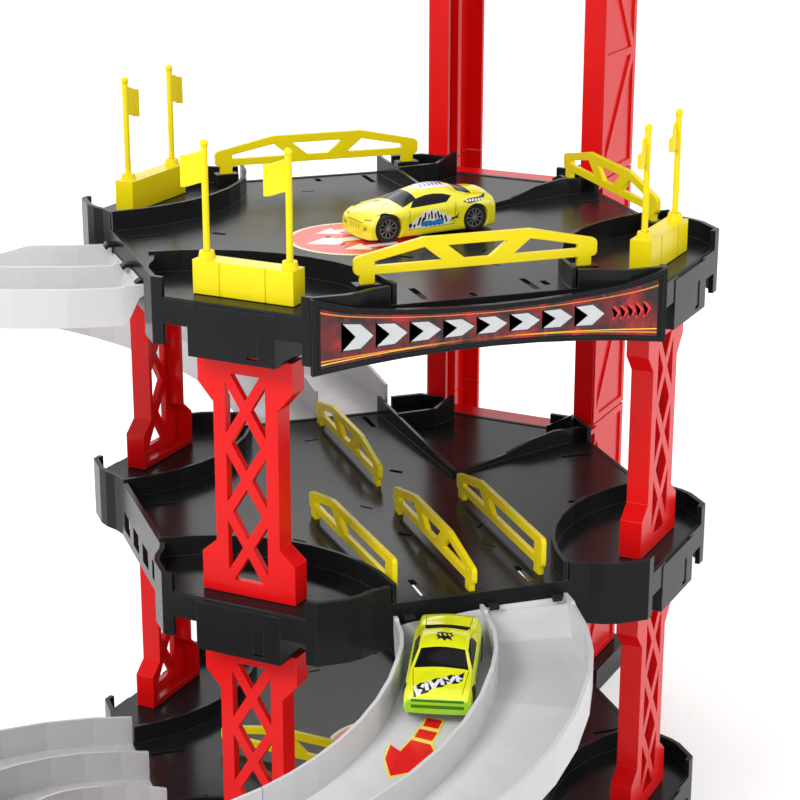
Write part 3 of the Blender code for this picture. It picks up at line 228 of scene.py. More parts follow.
def painted(name, colour, roughness=0.16, coat=0.4, low=None, specular=0.5):
    """Sprayed or printed paint with a hint of orange peel; a given side colour paints shade on upright
    faces, while upward faces keep the lighter colour as painted top light.
    """
    look = Nodes(name, roughness, specular)
    look.shader.inputs["Coat Weight"].default_value = coat
    look.shader.inputs["Coat Roughness"].default_value = 0.06
    cloud = look.noise(160.0, 3.0)
    base = look.ramp(cloud, [(0.32, tint(colour, 0.95)), (0.5, colour), (0.70, tint(colour, 1.04))])
    # Painted light and shade: the paint blends to the darker side colour as faces turn upright.
    if low:
        facing = look.add("ShaderNodeSeparateXYZ")
        look.link(look.add("ShaderNodeTexCoord").outputs["Normal"], facing.inputs["Vector"])
        share = look.span(facing.outputs["Z"], 1.0, 0.0, 0.0, 0.55)
        base = look.mix(share, base, low)
    look.link(base, look.shader.inputs["Base Color"])
    look.worn(look.noise(700.0, 4.0, 0.6), roughness * 0.8, roughness * 1.3)
    look.bump(look.noise(1500.0, 2.0), 0.25, 0.00002)
    return look.surface


def rubber(name, colour):
    """Matt rubber with a soft grain."""
    roughness = 0.6
    look = Nodes(name, roughness, 0.3)
    cloud = look.noise(900.0, 5.0, 0.6)
    base = look.ramp(cloud, [(0.3, tint(colour, 0.75)), (0.7, tint(colour, 1.25))])
    look.link(base, look.shader.inputs["Base Color"])
    look.worn(cloud, roughness * 0.8, roughness * 1.2)
    look.bump(look.noise(3200.0, 3.0), 0.5, 0.00004)
    return look.surface


def sign_print():
    """The print behind the chevrons: black with red haze and fine slanted streaks."""
    look = Nodes("sign_print", 0.24, 0.4)
    haze = look.noise(62.0, 5.0, 0.62)
    streak = look.noise(210.0, 3.0, 0.5, (1.0, 1.0, 0.35))
    base = look.ramp(haze, [(0.40, (0.012, 0.008, 0.009)), (0.56, (0.20, 0.010, 0.012)),
                            (0.70, (0.52, 0.020, 0.018))])
    lines = look.ramp(streak, [(0.56, (0.0, 0.0, 0.0)), (0.68, (0.30, 0.03, 0.02))])
    total = look.add("ShaderNodeMix", data_type="RGBA", blend_type="ADD")
    total.inputs[0].default_value = 0.6
    look.link(base, total.inputs[6])
    look.link(lines, total.inputs[7])
    look.link(total.outputs[2], look.shader.inputs["Base Color"])
    look.worn(haze, 0.18, 0.32)
    return look.surface


PAINT_YELLOW = painted("car_yellow_paint", (0.94, 0.87, 0.018))
# The lime car's lighter upward faces and darker green upright faces are painted top light and side
# shade.
PAINT_LIME = painted("car_lime_paint", (0.86, 0.90, 0.015), low=(0.34, 0.70, 0.02))
INK_BLACK = painted("printed_black", (0.012, 0.012, 0.013), 0.28, 0.2)
# White print, also used for the painted highlights beside the yellow car's bonnet vents.
WHITE_PRINT_AND_GLINT = painted("printed_white_and_painted_glint", (0.86, 0.86, 0.85), 0.28, 0.2)
INK_BLUE = painted("printed_blue", (0.03, 0.22, 0.62), 0.28, 0.2)
INK_RED = painted("printed_red", (0.80, 0.012, 0.015), 0.30, 0.2)
INK_ORANGE = painted("printed_orange", (0.95, 0.22, 0.01), 0.30, 0.2)
INK_YELLOW = painted("printed_yellow", (0.97, 0.78, 0.05), 0.30, 0.2)
INK_GREY = painted("printed_pale_grey", (0.62, 0.63, 0.65), 0.30, 0.2)
INK_GREEN = painted("printed_green", (0.16, 0.52, 0.05), 0.28, 0.2)
# Dark green: painted shade inside the lime car's nose slots.
SLOT_SHADE = painted("painted_slot_shade", (0.060, 0.20, 0.010), 0.35, 0.0, specular=0.2)
# Dark gold: painted shade in the yellow car's headlamp lines, fog inlets, grille slots and bonnet
# vents.
RECESS_SHADE = painted("painted_recess_shade", (0.42, 0.33, 0.02), 0.35, 0.1)
GLASS = painted("smoked_glass", (0.008, 0.008, 0.010), 0.12, 0.0, specular=0.14)
# Dark lines of painted shade for the grooves of panel seams and the grille's edge.
SEAM_SHADE = rubber("painted_seam_shade", (0.22, 0.19, 0.015))
TYRE = rubber("tyre_rubber", (0.014, 0.014, 0.015))
RIM = moulded("rim_plastic", (0.20, 0.195, 0.19), 0.30, 0.6, bevel=0.00012)
UNDERBODY = moulded("underbody_plastic", (0.015, 0.015, 0.016), 0.4, 0.3, bevel=0.0002)
SIGN_PRINT = sign_print()


def placed(name, data):
    """A new object in the scene for a mesh, a lamp or a camera."""
    item = bpy.data.objects.new(name, data)
    bpy.context.scene.collection.objects.link(item)
    return item


def from_work(work, name):
    """A new object from a mesh under construction."""
    mesh = bpy.data.meshes.new(name)
    work.to_mesh(mesh)
    work.free()
    return placed(name, mesh)


def settle(item):
    """Apply an object's modifiers to its mesh."""
    bpy.context.view_layer.update()
    seen = item.evaluated_get(bpy.context.evaluated_depsgraph_get())
    mesh = bpy.data.meshes.new_from_object(seen)
    old = item.data
    item.modifiers.clear()
    item.data = mesh
    mesh.name = item.name
    if not old.users:
        bpy.data.meshes.remove(old)
    return item


def boolean(target, other, operation):
    """Cut or keep part of a piece with another, which is used up."""
    step = target.modifiers.new("join", "BOOLEAN")
    step.operation = operation
    step.solver = "EXACT"
    step.object = other
    settle(target)
    bpy.data.objects.remove(other, do_unlink=True)


def smooth(item, angle):
    """Smooth shading, with edges sharper than the angle kept."""
    mesh = item.data
    for face in mesh.polygons:
        face.use_smooth = True
    mesh.set_sharp_from_angle(angle=math.radians(angle))
    return item


def add_walls(work, near, far):
    """Faces between two loops of vertices."""
    for corners in zip(near, near[1:] + near[:1], far[1:] + far[:1], far):
        work.faces.new(corners)


def add_block(work, near, far):
    """Walls between two loops of points and a cap on each, in a mesh under construction."""
    near = [work.verts.new(point) for point in near]
    far = [work.verts.new(point) for point in far]
    add_walls(work, near, far)
    work.faces.new(near)
    work.faces.new(list(reversed(far)))


def finish_block(work, name, triangles=False):
    """A new object whose faces all look outwards."""
    if triangles:
        bmesh.ops.triangulate(work, faces=work.faces)
    bmesh.ops.recalc_face_normals(work, faces=work.faces)
    return from_work(work, name)


def give(item, surface, body, *stands_for):
    """Put one material on a piece, make it ride on a body and hide the solids it replaces."""
    item.data.materials.clear()
    item.data.materials.append(surface)
    for face in item.data.polygons:
        face.material_index = 0
    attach(item, body)
    if stands_for:
        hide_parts(*stands_for)


def prism(name, loop, low, high, lie="top"):
    """A closed block over a flat loop: seen from the top or the side."""
    work = bmesh.new()
    if lie == "top":
        rows = [[(a, b, level) for a, b in loop] for level in (low, high)]
    else:
        rows = [[(a, level, b) for a, b in loop] for level in (low, high)]
    add_block(work, *rows)
    return finish_block(work, name)


def car_rows(stations, bottom, round_top):
    """Cross-sections of a body: a flat side, a shoulder, a leaning window band, a crowned top."""
    rows = []
    for x, half, belt, top, crown in stations:
        rise = min(1.0, max(0.0, (top - belt) / 0.006))
        fall = round_top * (0.0006 + 0.0018 * rise) + 0.0002
        right = [(half - 0.0016, bottom), (half - 0.0003, bottom + 0.0009), (half, bottom + 0.0032),
                 (half - 0.0001, belt - 0.0026), (half - 0.0005, belt - 0.0008),
                 (half - 0.0018, belt + 0.0003), (crown + 0.0006, top - fall - 0.0005),
                 (crown - 0.0012, top - fall), (crown * 0.55, top - fall * 0.35)]
        row = [(x, y, z) for y, z in right] + [(x, 0.0, top + 0.0003)]
        row += [(x, -y, z) for y, z in reversed(right)]
        rows.append(row)
    return rows


def car_solid(name, stations, bottom, round_top):
    """The body as one smooth closed form."""
    work = bmesh.new()
    rows = [[work.verts.new(point) for point in row]
            for row in car_rows(stations, bottom, round_top)]
    count = len(rows[0])
    for near, far in zip(rows, rows[1:]):
        add_walls(work, near, far)
    for row, flip in ((rows[0], True), (rows[-1], False)):
        middle = count // 2
        for i in range(middle):
            quad = [row[i], row[i + 1], row[count - 2 - i], row[count - 1 - i]]
            if len(set(quad)) == 3:
                quad = [row[i], row[i + 1], row[count - 1 - i]]
            work.faces.new(list(reversed(quad)) if flip else quad)
    item = finish_block(work, name)
    rounding = item.modifiers.new("round", "SUBSURF")
    rounding.levels = 2
    rounding.render_levels = 2
    return settle(item)


def grown(item, name, distance):
    """A copy whose skin stands proud by the distance."""
    copy = placed(name, item.data.copy())
    for vertex in copy.data.vertices:
        vertex.co = vertex.co + vertex.normal * distance
    return copy


def inside(loop, a, b):
    """Whether a point lies in a flat outline."""
    hit = False
    for (ax, ay), (bx, by) in zip(loop, loop[1:] + loop[:1]):
        if (ay > b) != (by > b) and a < (bx - ax) * (b - ay) / (by - ay) + ax:
            hit = not hit
    return hit


# The axes that run across, up and through a print, by where it is seen from
FACINGS = {"top": (0, 1, 2), "side": (0, 2, 1), "front": (1, 2, 0)}


class Skin:
    """A car's smooth form, with the windows and prints that lie on it."""

    def __init__(self, car, solid, place):
        self.car = car
        self.solid = solid
        self.place = place

    def mark(self, lie, name, loop, layers, surface, low, high):
        """A print on the body's skin: its faces inside a flat outline, cut along it and set proud."""
        across, along, through = FACINGS[lie]
        work = bmesh.new()
        work.from_mesh(self.solid.data)
        for vertex in work.verts:
            vertex.co = vertex.co + vertex.normal * layers * LAYER

        def near(face):
            if not low <= face.calc_center_median()[through] <= high:
                return False
            for axis, limits in ((across, [a for a, b in loop]), (along, [b for a, b in loop])):
                reach = [vertex.co[axis] for vertex in face.verts]
                if max(reach) < min(limits) or min(reach) > max(limits):
                    return False
            return True

        def within(face):
            middle = face.calc_center_median()
            return inside(loop, middle[across], middle[along])

        bmesh.ops.delete(work, geom=[face for face in work.faces if not near(face)],
                         context="FACES")
        for (ax, ay), (bx, by) in zip(loop, loop[1:] + loop[:1]):
            spot, square = Vector((0.0, 0.0, 0.0)), Vector((0.0, 0.0, 0.0))
            spot[across], spot[along] = ax, ay
            square[across], square[along] = ay - by, bx - ax
            bmesh.ops.bisect_plane(work, geom=[*work.verts, *work.edges, *work.faces], dist=1e-7,
                                   plane_co=spot, plane_no=square.normalized())
        bmesh.ops.delete(work, geom=[face for face in work.faces if not within(face)],
                         context="FACES")
        work.transform(self.place)
        give(smooth(from_work(work, f"{self.car}_{name}"), 30.0), surface, self.car)

    def pane(self, lie, name, loop, low, high, *stands_for):
        """A window with depth that follows the body's skin inside a flat outline."""
        item = grown(self.solid, f"{self.car}_{name}", PANE_PROUD)
        boolean(item, prism(f"{self.car}_{name}_cutter", loop, low, high, lie), "INTERSECT")
        item.data.transform(self.place)
        give(smooth(item, 30.0), GLASS, self.car, *stands_for)

    def side(self, name, loop, layers, surface):
        self.mark("side", name, loop, layers, surface, -SIDE_REACH, SIDE_REACH)

    def top(self, name, loop, layers, surface, low=BELT):
        self.mark("top", name, loop, layers, surface, low, OVER_ROOF)

    def nose(self, name, loop, layers, surface, low):
        self.mark("front", name, loop, layers, surface, low, NOSE_END)

    def tail(self, name, loop, layers, surface):
        self.mark("front", name, loop, layers, surface, *TAIL_ENDS)


def stripe(a, b, width, slant=0.0):
    """A slim parallelogram from point a to point b."""
    (ax, ay), (bx, by) = a, b
    length = math.hypot(bx - ax, by - ay)
    nx, ny = -(by - ay) / length * width / 2, (bx - ax) / length * width / 2
    sx, sy = (bx - ax) / length * slant, (by - ay) / length * slant
    return [(ax - nx, ay - ny), (bx - nx - sx, by - ny - sy), (bx + nx, by + ny),
            (ax + nx + sx, ay + ny + sy)]


def ring(work, y, radius):
    """Points of one circle round the axle."""
    turns = [2 * math.pi * i / RIM_STEPS for i in range(RIM_STEPS)]
    return [work.verts.new((radius * math.cos(turn), y, radius * math.sin(turn))) for turn in turns]


def tyre(work, side, face):
    """One tyre with three tread grooves, from its closed back to its closed hub."""
    radius = WHEEL_RADIUS
    back = face - side * TYRE_WIDTH
    profile = [(back, radius * 0.60), (back, radius - 0.0006), (back + side * 0.0005, radius)]
    for share in (0.25, 0.50, 0.75):
        y = back + side * TYRE_WIDTH * share
        profile += [(y - side * 0.00022, radius), (y - side * 0.00016, radius - 0.00028),
                    (y + side * 0.00016, radius - 0.00028), (y + side * 0.00022, radius)]
    profile += [(face - side * 0.0005, radius), (face, radius - 0.0006),
                (face, radius * 0.74), (face - side * 0.0006, radius * 0.70),
                (face - side * HUB_DEPTH, radius * 0.66)]
    rings = [ring(work, y, reach) for y, reach in profile]
    hubs = [work.verts.new((0.0, y, 0.0)) for y in (back, face - side * HUB_DEPTH)]
    for i in range(RIM_STEPS):
        j = (i + 1) % RIM_STEPS
        for near, far in zip(rings, rings[1:]):
            work.faces.new((near[i], far[i], far[j], near[j]))
        work.faces.new((rings[0][i], rings[0][j], hubs[0]))
        work.faces.new((rings[-1][i], hubs[1], rings[-1][j]))


def rim(work, side, face):
    """Spokes, a hub cap and a flat ring, set just inside the tyre's face."""
    radius = WHEEL_RADIUS
    for spoke in range(SPOKES):
        turn = Matrix.Rotation(2 * math.pi * spoke / SPOKES, 4, "Y")
        size = Matrix.Diagonal((radius * 0.60, 0.0010, radius * 0.055, 1.0))
        lie = Matrix.Translation((radius * 0.38, face - side * 0.0002, 0))
        bmesh.ops.create_cube(work, size=1.0, matrix=turn @ lie @ size)
    cap = Matrix.Translation((0, face, 0)) @ Matrix.Rotation(math.pi / 2, 4, "X")
    bmesh.ops.create_cone(work, cap_ends=True, segments=16, radius1=radius * 0.17,
                          radius2=radius * 0.17, depth=0.0013, matrix=cap)
    add_walls(work, *[ring(work, face + side * 0.0001, radius * share) for share in (0.64, 0.72)])


def wheel_pair(name, place, x, half_tread, body):
    """Two tyres with tread grooves and spoked rims on one axle, in place of the solid wheels."""
    work = bmesh.new()
    for side in (-1, 1):
        tyre(work, side, side * half_tread)
    rubber_faces = len(work.faces)
    for side in (-1, 1):
        rim(work, side, side * (half_tread - RIM_DEPTH))
    work.faces.ensure_lookup_table()
    for index, face in enumerate(work.faces):
        face.material_index = 0 if index < rubber_faces else 1
    item = finish_block(work, name)
    item.data.materials.append(TYRE)
    item.data.materials.append(RIM)
    item.data.transform(place @ Matrix.Translation((x, 0.0, WHEEL_RADIUS)))
    smooth(item, 35.0)
    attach(item, body)
    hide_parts(body)


def car_place(car):
    """The car's own frame: x ahead, y left, z up, its origin on the ground between the axles."""
    spots = {}
    axis = None
    for joint in frame["joints"]:
        for end in ("front", "rear"):
            if joint["name"] == f"{car}_{end}_axle":
                spots[end] = Vector(joint["pos_m"])
                axis = Vector(joint["axis"])
    ahead = (spots["front"] - spots["rear"]).normalized()
    left = axis if ahead.cross(axis).z > 0 else -axis
    up = ahead.cross(left).normalized()
    scale = (spots["front"] - spots["rear"]).length / WHEELBASE
    middle = (spots["front"] + spots["rear"]) / 2 - up * WHEEL_RADIUS * scale
    turn = Matrix((ahead, left, up)).transposed().to_4x4()
    return Matrix.Translation(middle) @ turn @ Matrix.Scale(scale, 4)


# Stations along a body: x, half width, belt line, top, half width of the roof or bonnet
COUPE = [
    (-0.0345, 0.0118, 0.0112, 0.0140, 0.0098), (-0.0336, 0.0135, 0.0128, 0.0160, 0.0110),
    (-0.0295, 0.0148, 0.0142, 0.0179, 0.0118), (-0.0220, 0.0152, 0.0146, 0.0178, 0.0116),
    (-0.0188, 0.0152, 0.0146, 0.0187, 0.0108), (-0.0150, 0.0152, 0.0145, 0.0203, 0.0102),
    (-0.0100, 0.0152, 0.0144, 0.0212, 0.0100), (-0.0040, 0.0152, 0.0142, 0.0212, 0.0099),
    (0.0010, 0.0152, 0.0140, 0.0206, 0.0100), (0.0055, 0.0152, 0.0138, 0.0192, 0.0104),
    (0.0105, 0.0152, 0.0135, 0.0170, 0.0112), (0.0145, 0.0152, 0.0132, 0.0154, 0.0120),
    (0.0180, 0.0152, 0.0129, 0.0150, 0.0122), (0.0235, 0.0150, 0.0123, 0.0143, 0.0120),
    (0.0280, 0.0144, 0.0108, 0.0127, 0.0114), (0.0308, 0.0134, 0.0090, 0.0104, 0.0104),
    (0.0315, 0.0120, 0.0078, 0.0088, 0.0094),
]
WEDGE = [
    (-0.0345, 0.0132, 0.0124, 0.0152, 0.0116), (-0.0343, 0.0140, 0.0132, 0.0162, 0.0122),
    (-0.0330, 0.0146, 0.0140, 0.0168, 0.0124), (-0.0290, 0.0150, 0.0143, 0.0173, 0.0124),
    (-0.0225, 0.0152, 0.0146, 0.0177, 0.0122), (-0.0196, 0.0152, 0.0146, 0.0182, 0.0116),
    (-0.0142, 0.0152, 0.0145, 0.0203, 0.0106),
    (-0.0080, 0.0152, 0.0144, 0.0214, 0.0103), (-0.0020, 0.0152, 0.0143, 0.0215, 0.0103),
    (0.0032, 0.0152, 0.0141, 0.0205, 0.0106), (0.0082, 0.0152, 0.0138, 0.0181, 0.0116),
    (0.0134, 0.0152, 0.0136, 0.0158, 0.0128), (0.0200, 0.0152, 0.0132, 0.0152, 0.0129),
    (0.0262, 0.0151, 0.0126, 0.0144, 0.0128), (0.0296, 0.0148, 0.0116, 0.0131, 0.0127),
    (0.0308, 0.0147, 0.0102, 0.0120, 0.0126), (0.0313, 0.0146, 0.0096, 0.0112, 0.0125),
    (0.0315, 0.0142, 0.0090, 0.0102, 0.0122),
]


# Flat outlines of the windows: the side windows from the side, the others from the top
COUPE_PANES = {
    "windscreen": [(0.0143, 0.0040), (0.0136, 0.0112), (0.0058, 0.0093), (0.0061, 0.0),
                   (0.0058, -0.0093), (0.0136, -0.0112), (0.0143, -0.0040)],
    "rear_window": [(-0.0156, 0.0080), (-0.0156, -0.0080), (-0.0226, -0.0094),
                    (-0.0226, 0.0094)],
    "side_windows": [(0.0107, 0.0140), (0.0080, 0.0159), (0.0050, 0.0171), (0.0010, 0.0180),
                     (-0.0030, 0.0183), (-0.0070, 0.0180), (-0.0110, 0.0170),
                     (-0.0074, 0.0148)],
}
WEDGE_PANES = {
    "windscreen": [(0.0132, 0.0118), (0.0132, -0.0118), (0.0030, -0.0095), (0.0030, 0.0095)],
    "rear_window": [(-0.0146, 0.0090), (-0.0146, -0.0090), (-0.0208, -0.0102),
                    (-0.0208, 0.0102)],
    "side_windows": [(-0.0112, 0.0152), (0.0106, 0.0146), (0.0070, 0.0168), (0.0020, 0.0190),
                     (-0.0060, 0.0194), (-0.0104, 0.0184)],
}


def seams(skin):
    """Panel seams: doors, bonnet and boot, drawn as dark lines of painted shade in their grooves."""
    doors = [stripe((0.0128, 0.0048), (0.0118, 0.0132), SEAM_WIDTH),
             stripe((-0.0104, 0.0048), (-0.0118, 0.0142), SEAM_WIDTH),
             stripe((-0.0104, 0.0050), (0.0128, 0.0050), 0.00024)]
    for number, loop in enumerate(doors, 1):
        skin.side(f"door_seam_{number}", loop, 4, SEAM_SHADE)
    for number, side in enumerate((-1, 1), 1):
        bonnet = stripe((0.0136, side * 0.0120), (0.0292, side * 0.0104), SEAM_WIDTH)
        skin.top(f"bonnet_seam_{number}", bonnet, 4, SEAM_SHADE)
        boot = stripe((-0.0190, side * 0.0096), (-0.0318, side * 0.0104), SEAM_WIDTH)
        skin.top(f"boot_seam_{number}", boot, 4, SEAM_SHADE)
    edge = stripe((-0.0318, -0.0104), (-0.0318, 0.0104), SEAM_WIDTH)
    skin.top("boot_edge", edge, 4, SEAM_SHADE)


def wedge_marks(skin):
    """Nose slots darkened as painted shade in their recesses, tail panels, a torn band of slashes on
    the bonnet, roof and side prints.
    """
    # The nose slots' dark green is painted shade in the recesses.
    for number, (low, high) in enumerate(((0.0066, 0.0082), (0.0096, 0.0108)), 1):
        bar = [(-0.0112, low), (0.0112, low), (0.0112, high), (-0.0112, high)]
        skin.nose(f"nose_slot_{number}", bar, 6, SLOT_SHADE, 0.0290)
        tail = [(-0.0112, low), (-0.0030, low), (-0.0030, high), (-0.0112, high)]
        skin.tail(f"tail_panel_{number}", tail, 6, INK_RED)
        tail = [(0.0030, low), (0.0112, low), (0.0112, high), (0.0030, high)]
        skin.tail(f"tail_panel_{number + 2}", tail, 6, INK_RED)
    wedge_bonnet(skin)
    roof = [(-0.0090, -0.0024), (-0.0080, -0.0038), (-0.0064, -0.0030), (-0.0050, -0.0040),
            (-0.0036, -0.0026), (-0.0018, -0.0034), (-0.0028, -0.0012), (-0.0008, 0.0002),
            (-0.0026, 0.0012), (-0.0012, 0.0036), (-0.0038, 0.0026), (-0.0056, 0.0040),
            (-0.0068, 0.0028), (-0.0086, 0.0034), (-0.0078, 0.0010)]
    skin.top("roof_blot", roof, 6, INK_BLACK, ROOF)
    for i, y in enumerate((-0.0020, 0.0, 0.0020), 1):
        bar = stripe((-0.0070, y - 0.0005), (-0.0046, y + 0.0005), 0.0008, 0.0003)
        skin.top(f"roof_bar_{i}", bar, 9, INK_YELLOW, ROOF)
    band = [(-0.0140, 0.0104), (-0.0070, 0.0124), (0.0040, 0.0118), (0.0112, 0.0100),
            (0.0126, 0.0066), (0.0040, 0.0056), (-0.0060, 0.0060), (-0.0110, 0.0078)]
    skin.side("side_band", band, 5, INK_GREEN)
    for number in range(8):
        x = -0.0110 + number * 0.0027
        bar = [(x, 0.0066), (x + 0.0015, 0.0064), (x + 0.0030, 0.0110), (x + 0.0016, 0.0114)]
        skin.side(f"side_bar_{number + 1}", bar, 8, (WHITE_PRINT_AND_GLINT, INK_BLACK)[number % 2])
    wave = stripe((-0.0094, 0.0080), (0.0100, 0.0076), 0.0012, 0.0006)
    skin.side("side_wave", wave, 11, WHITE_PRINT_AND_GLINT)
    dash = stripe((-0.0062, 0.0095), (0.0050, 0.0092), 0.0009, 0.0006)
    skin.side("side_dash", dash, 11, INK_BLUE)


def wedge_bonnet(skin):
    """A torn black band that leans across the bonnet, with white bars and links."""
    def lean(y):
        return 0.0236 - 0.50 * y

    half = 0.0029
    teeth = 11
    ahead, behind = [], []
    for i in range(teeth):
        y = -0.0104 + 0.0202 * i / (teeth - 1)
        jag, back_jag = ((0.0008, 0.0004), (-0.0006, -0.0009), (0.0003, -0.0002))[i % 3]
        ahead.append((lean(y) + half + jag, y))
        behind.append((lean(y) - half + back_jag, y + 0.0004))
    skin.top("bonnet_flash", ahead + list(reversed(behind)), 6, INK_BLACK)
    for i in range(9):
        y = -0.0092 + 0.0021 * i
        slant = (0.0012, -0.0009, 0.0005)[i % 3]
        bar = stripe((lean(y) - 0.0024, y - slant), (lean(y) + 0.0025, y + slant), 0.0016, 0.0004)
        skin.top(f"bonnet_bar_{i + 1}", bar, 9, WHITE_PRINT_AND_GLINT)
    for i in range(4):
        y = -0.0076 + 0.0052 * i
        bar = stripe((lean(y) - 0.0006, y - 0.0016), (lean(y) + 0.0004, y + 0.0018), 0.0011, 0.0003)
        skin.top(f"bonnet_link_{i + 1}", bar, 12, WHITE_PRINT_AND_GLINT if i % 2 else INK_BLACK)


def coupe_marks(skin):
    """Lamps, grille and vents, with their lines, inlets, slots and vents in dark gold as painted shade
    in the recesses and a white painted highlight beside each vent, and plain prints along the doors,
    the rear and the roof.
    """
    for number, side in enumerate((-1, 1), 1):
        tail = [(side * 0.0046, 0.0128), (side * 0.0112, 0.0130), (side * 0.0112, 0.0110),
                (side * 0.0046, 0.0108)]
        skin.tail(f"tail_lamp_{number}", tail, 8, INK_RED)
        # Headlamp lines, fog inlets and bonnet vents get painted recess shade.
        lamp = [(side * 0.0070, 0.0100), (side * 0.0112, 0.0104), (side * 0.0112, 0.0099),
                (side * 0.0070, 0.0094)]
        skin.nose(f"headlamp_line_{number}", lamp, 6, RECESS_SHADE, 0.0270)
        fog = [(side * 0.0074, 0.0052), (side * 0.0102, 0.0054), (side * 0.0106, 0.0070),
               (side * 0.0080, 0.0068)]
        skin.nose(f"fog_inlet_{number}", fog, 6, RECESS_SHADE, 0.0280)
        streak = stripe((0.0166, side * 0.0034), (0.0206, side * 0.0046), 0.0007, 0.0003)
        skin.top(f"bonnet_vent_{number}", streak, 6, RECESS_SHADE)
        # A white streak beside each vent is a painted highlight, a glint on the bonnet.
        streak = stripe((0.0170, side * 0.0048), (0.0198, side * 0.0056), 0.0005, 0.0002)
        skin.top(f"bonnet_glint_{number}", streak, 6, WHITE_PRINT_AND_GLINT)
    # The grille slots are painted recess shade.
    for number, y in enumerate((-0.0036, -0.0012, 0.0012, 0.0036), 1):
        notch = stripe((y, 0.0052), (y * 1.06, 0.0074), 0.0006)
        skin.nose(f"grille_slot_{number}", notch, 6, RECESS_SHADE, 0.0280)
    # The grille's upper edge is a dark line of painted shade.
    edge = stripe((-0.0062, 0.0084), (0.0062, 0.0084), 0.0003)
    skin.nose("grille_edge", edge, 6, SEAM_SHADE, 0.0270)
    coupe_door(skin)
    dart = [(-0.0156, 0.0140), (-0.0182, 0.0150), (-0.0250, 0.0152), (-0.0292, 0.0160),
            (-0.0262, 0.0140), (-0.0190, 0.0131)]
    skin.side("rear_dart", dart, 6, INK_BLACK)
    for number in range(6):
        x = -0.0172 - number * 0.0016
        bar = stripe((x, 0.0137), (x - 0.0010, 0.0148), 0.0009, 0.0003)
        skin.side(f"rear_bar_{number + 1}", bar, 9, WHITE_PRINT_AND_GLINT)
    band = [(-0.0138, -0.0040), (-0.0090, -0.0052), (0.0000, -0.0046), (0.0024, 0.0000),
            (0.0008, 0.0050), (-0.0092, 0.0062), (-0.0140, 0.0056), (-0.0120, 0.0014)]
    skin.top("roof_band", band, 6, WHITE_PRINT_AND_GLINT, ROOF)
    for number in range(6):
        x = -0.0116 + number * 0.0020
        bar = stripe((x, -0.0026 + 0.0002 * number), (x + 0.0012, 0.0038), 0.0010, 0.0004)
        skin.top(f"roof_bar_{number + 1}", bar, 9, INK_BLUE if number else INK_BLACK, ROOF)


def coupe_door(skin):
    """A torn white patch with black slashes, a blue wave and a dart."""
    flash = [(0.0138, 0.0052), (0.0122, 0.0082), (0.0110, 0.0074), (0.0094, 0.0092),
             (0.0078, 0.0100), (0.0062, 0.0106), (0.0048, 0.0124), (0.0030, 0.0118),
             (0.0012, 0.0128), (-0.0004, 0.0118), (-0.0020, 0.0124), (-0.0034, 0.0108),
             (-0.0056, 0.0104), (-0.0074, 0.0088), (-0.0096, 0.0090), (-0.0090, 0.0072),
             (-0.0080, 0.0052), (0.0040, 0.0049)]
    skin.side("side_flash", flash, 6, WHITE_PRINT_AND_GLINT)
    slashes = [
        ((0.0118, 0.0054), (0.0122, 0.0078), 0.0016), ((0.0096, 0.0055), (0.0104, 0.0072), 0.0012),
        ((0.0082, 0.0060), (0.0066, 0.0102), 0.0010), ((0.0064, 0.0062), (0.0050, 0.0098), 0.0009),
        ((0.0048, 0.0080), (0.0040, 0.0120), 0.0008), ((0.0026, 0.0082), (0.0024, 0.0114), 0.0007),
        ((0.0008, 0.0082), (0.0012, 0.0124), 0.0009), ((-0.0012, 0.0082), (-0.0006, 0.0112), 0.0008),
        ((-0.0030, 0.0080), (-0.0018, 0.0118), 0.0009), ((-0.0050, 0.0064), (-0.0034, 0.0102), 0.0010),
        ((-0.0068, 0.0060), (-0.0056, 0.0096), 0.0009),
    ]
    for number, (low, high, width) in enumerate(slashes, 1):
        skin.side(f"side_slash_{number}", stripe(low, high, width, 0.0006), 9, INK_BLACK)
    wave = [(0.0066, 0.0056), (-0.0052, 0.0056), (-0.0044, 0.0078), (-0.0022, 0.0082),
            (0.0004, 0.0074), (0.0030, 0.0080), (0.0056, 0.0078)]
    skin.side("side_wave", wave, 12, INK_BLUE)
    for number, x in enumerate((-0.0030, -0.0008, 0.0014, 0.0036), 1):
        tick = stripe((x, 0.0052), (x + 0.0008, 0.0062), 0.0005, 0.0002)
        skin.side(f"wave_tick_{number}", tick, 15, INK_BLACK)
    dart = [(-0.0082, 0.0062), (-0.0098, 0.0082), (-0.0108, 0.0078), (-0.0136, 0.0100),
            (-0.0122, 0.0080), (-0.0130, 0.0074), (-0.0106, 0.0072)]
    skin.side("side_dart", dart, 9, INK_BLACK)


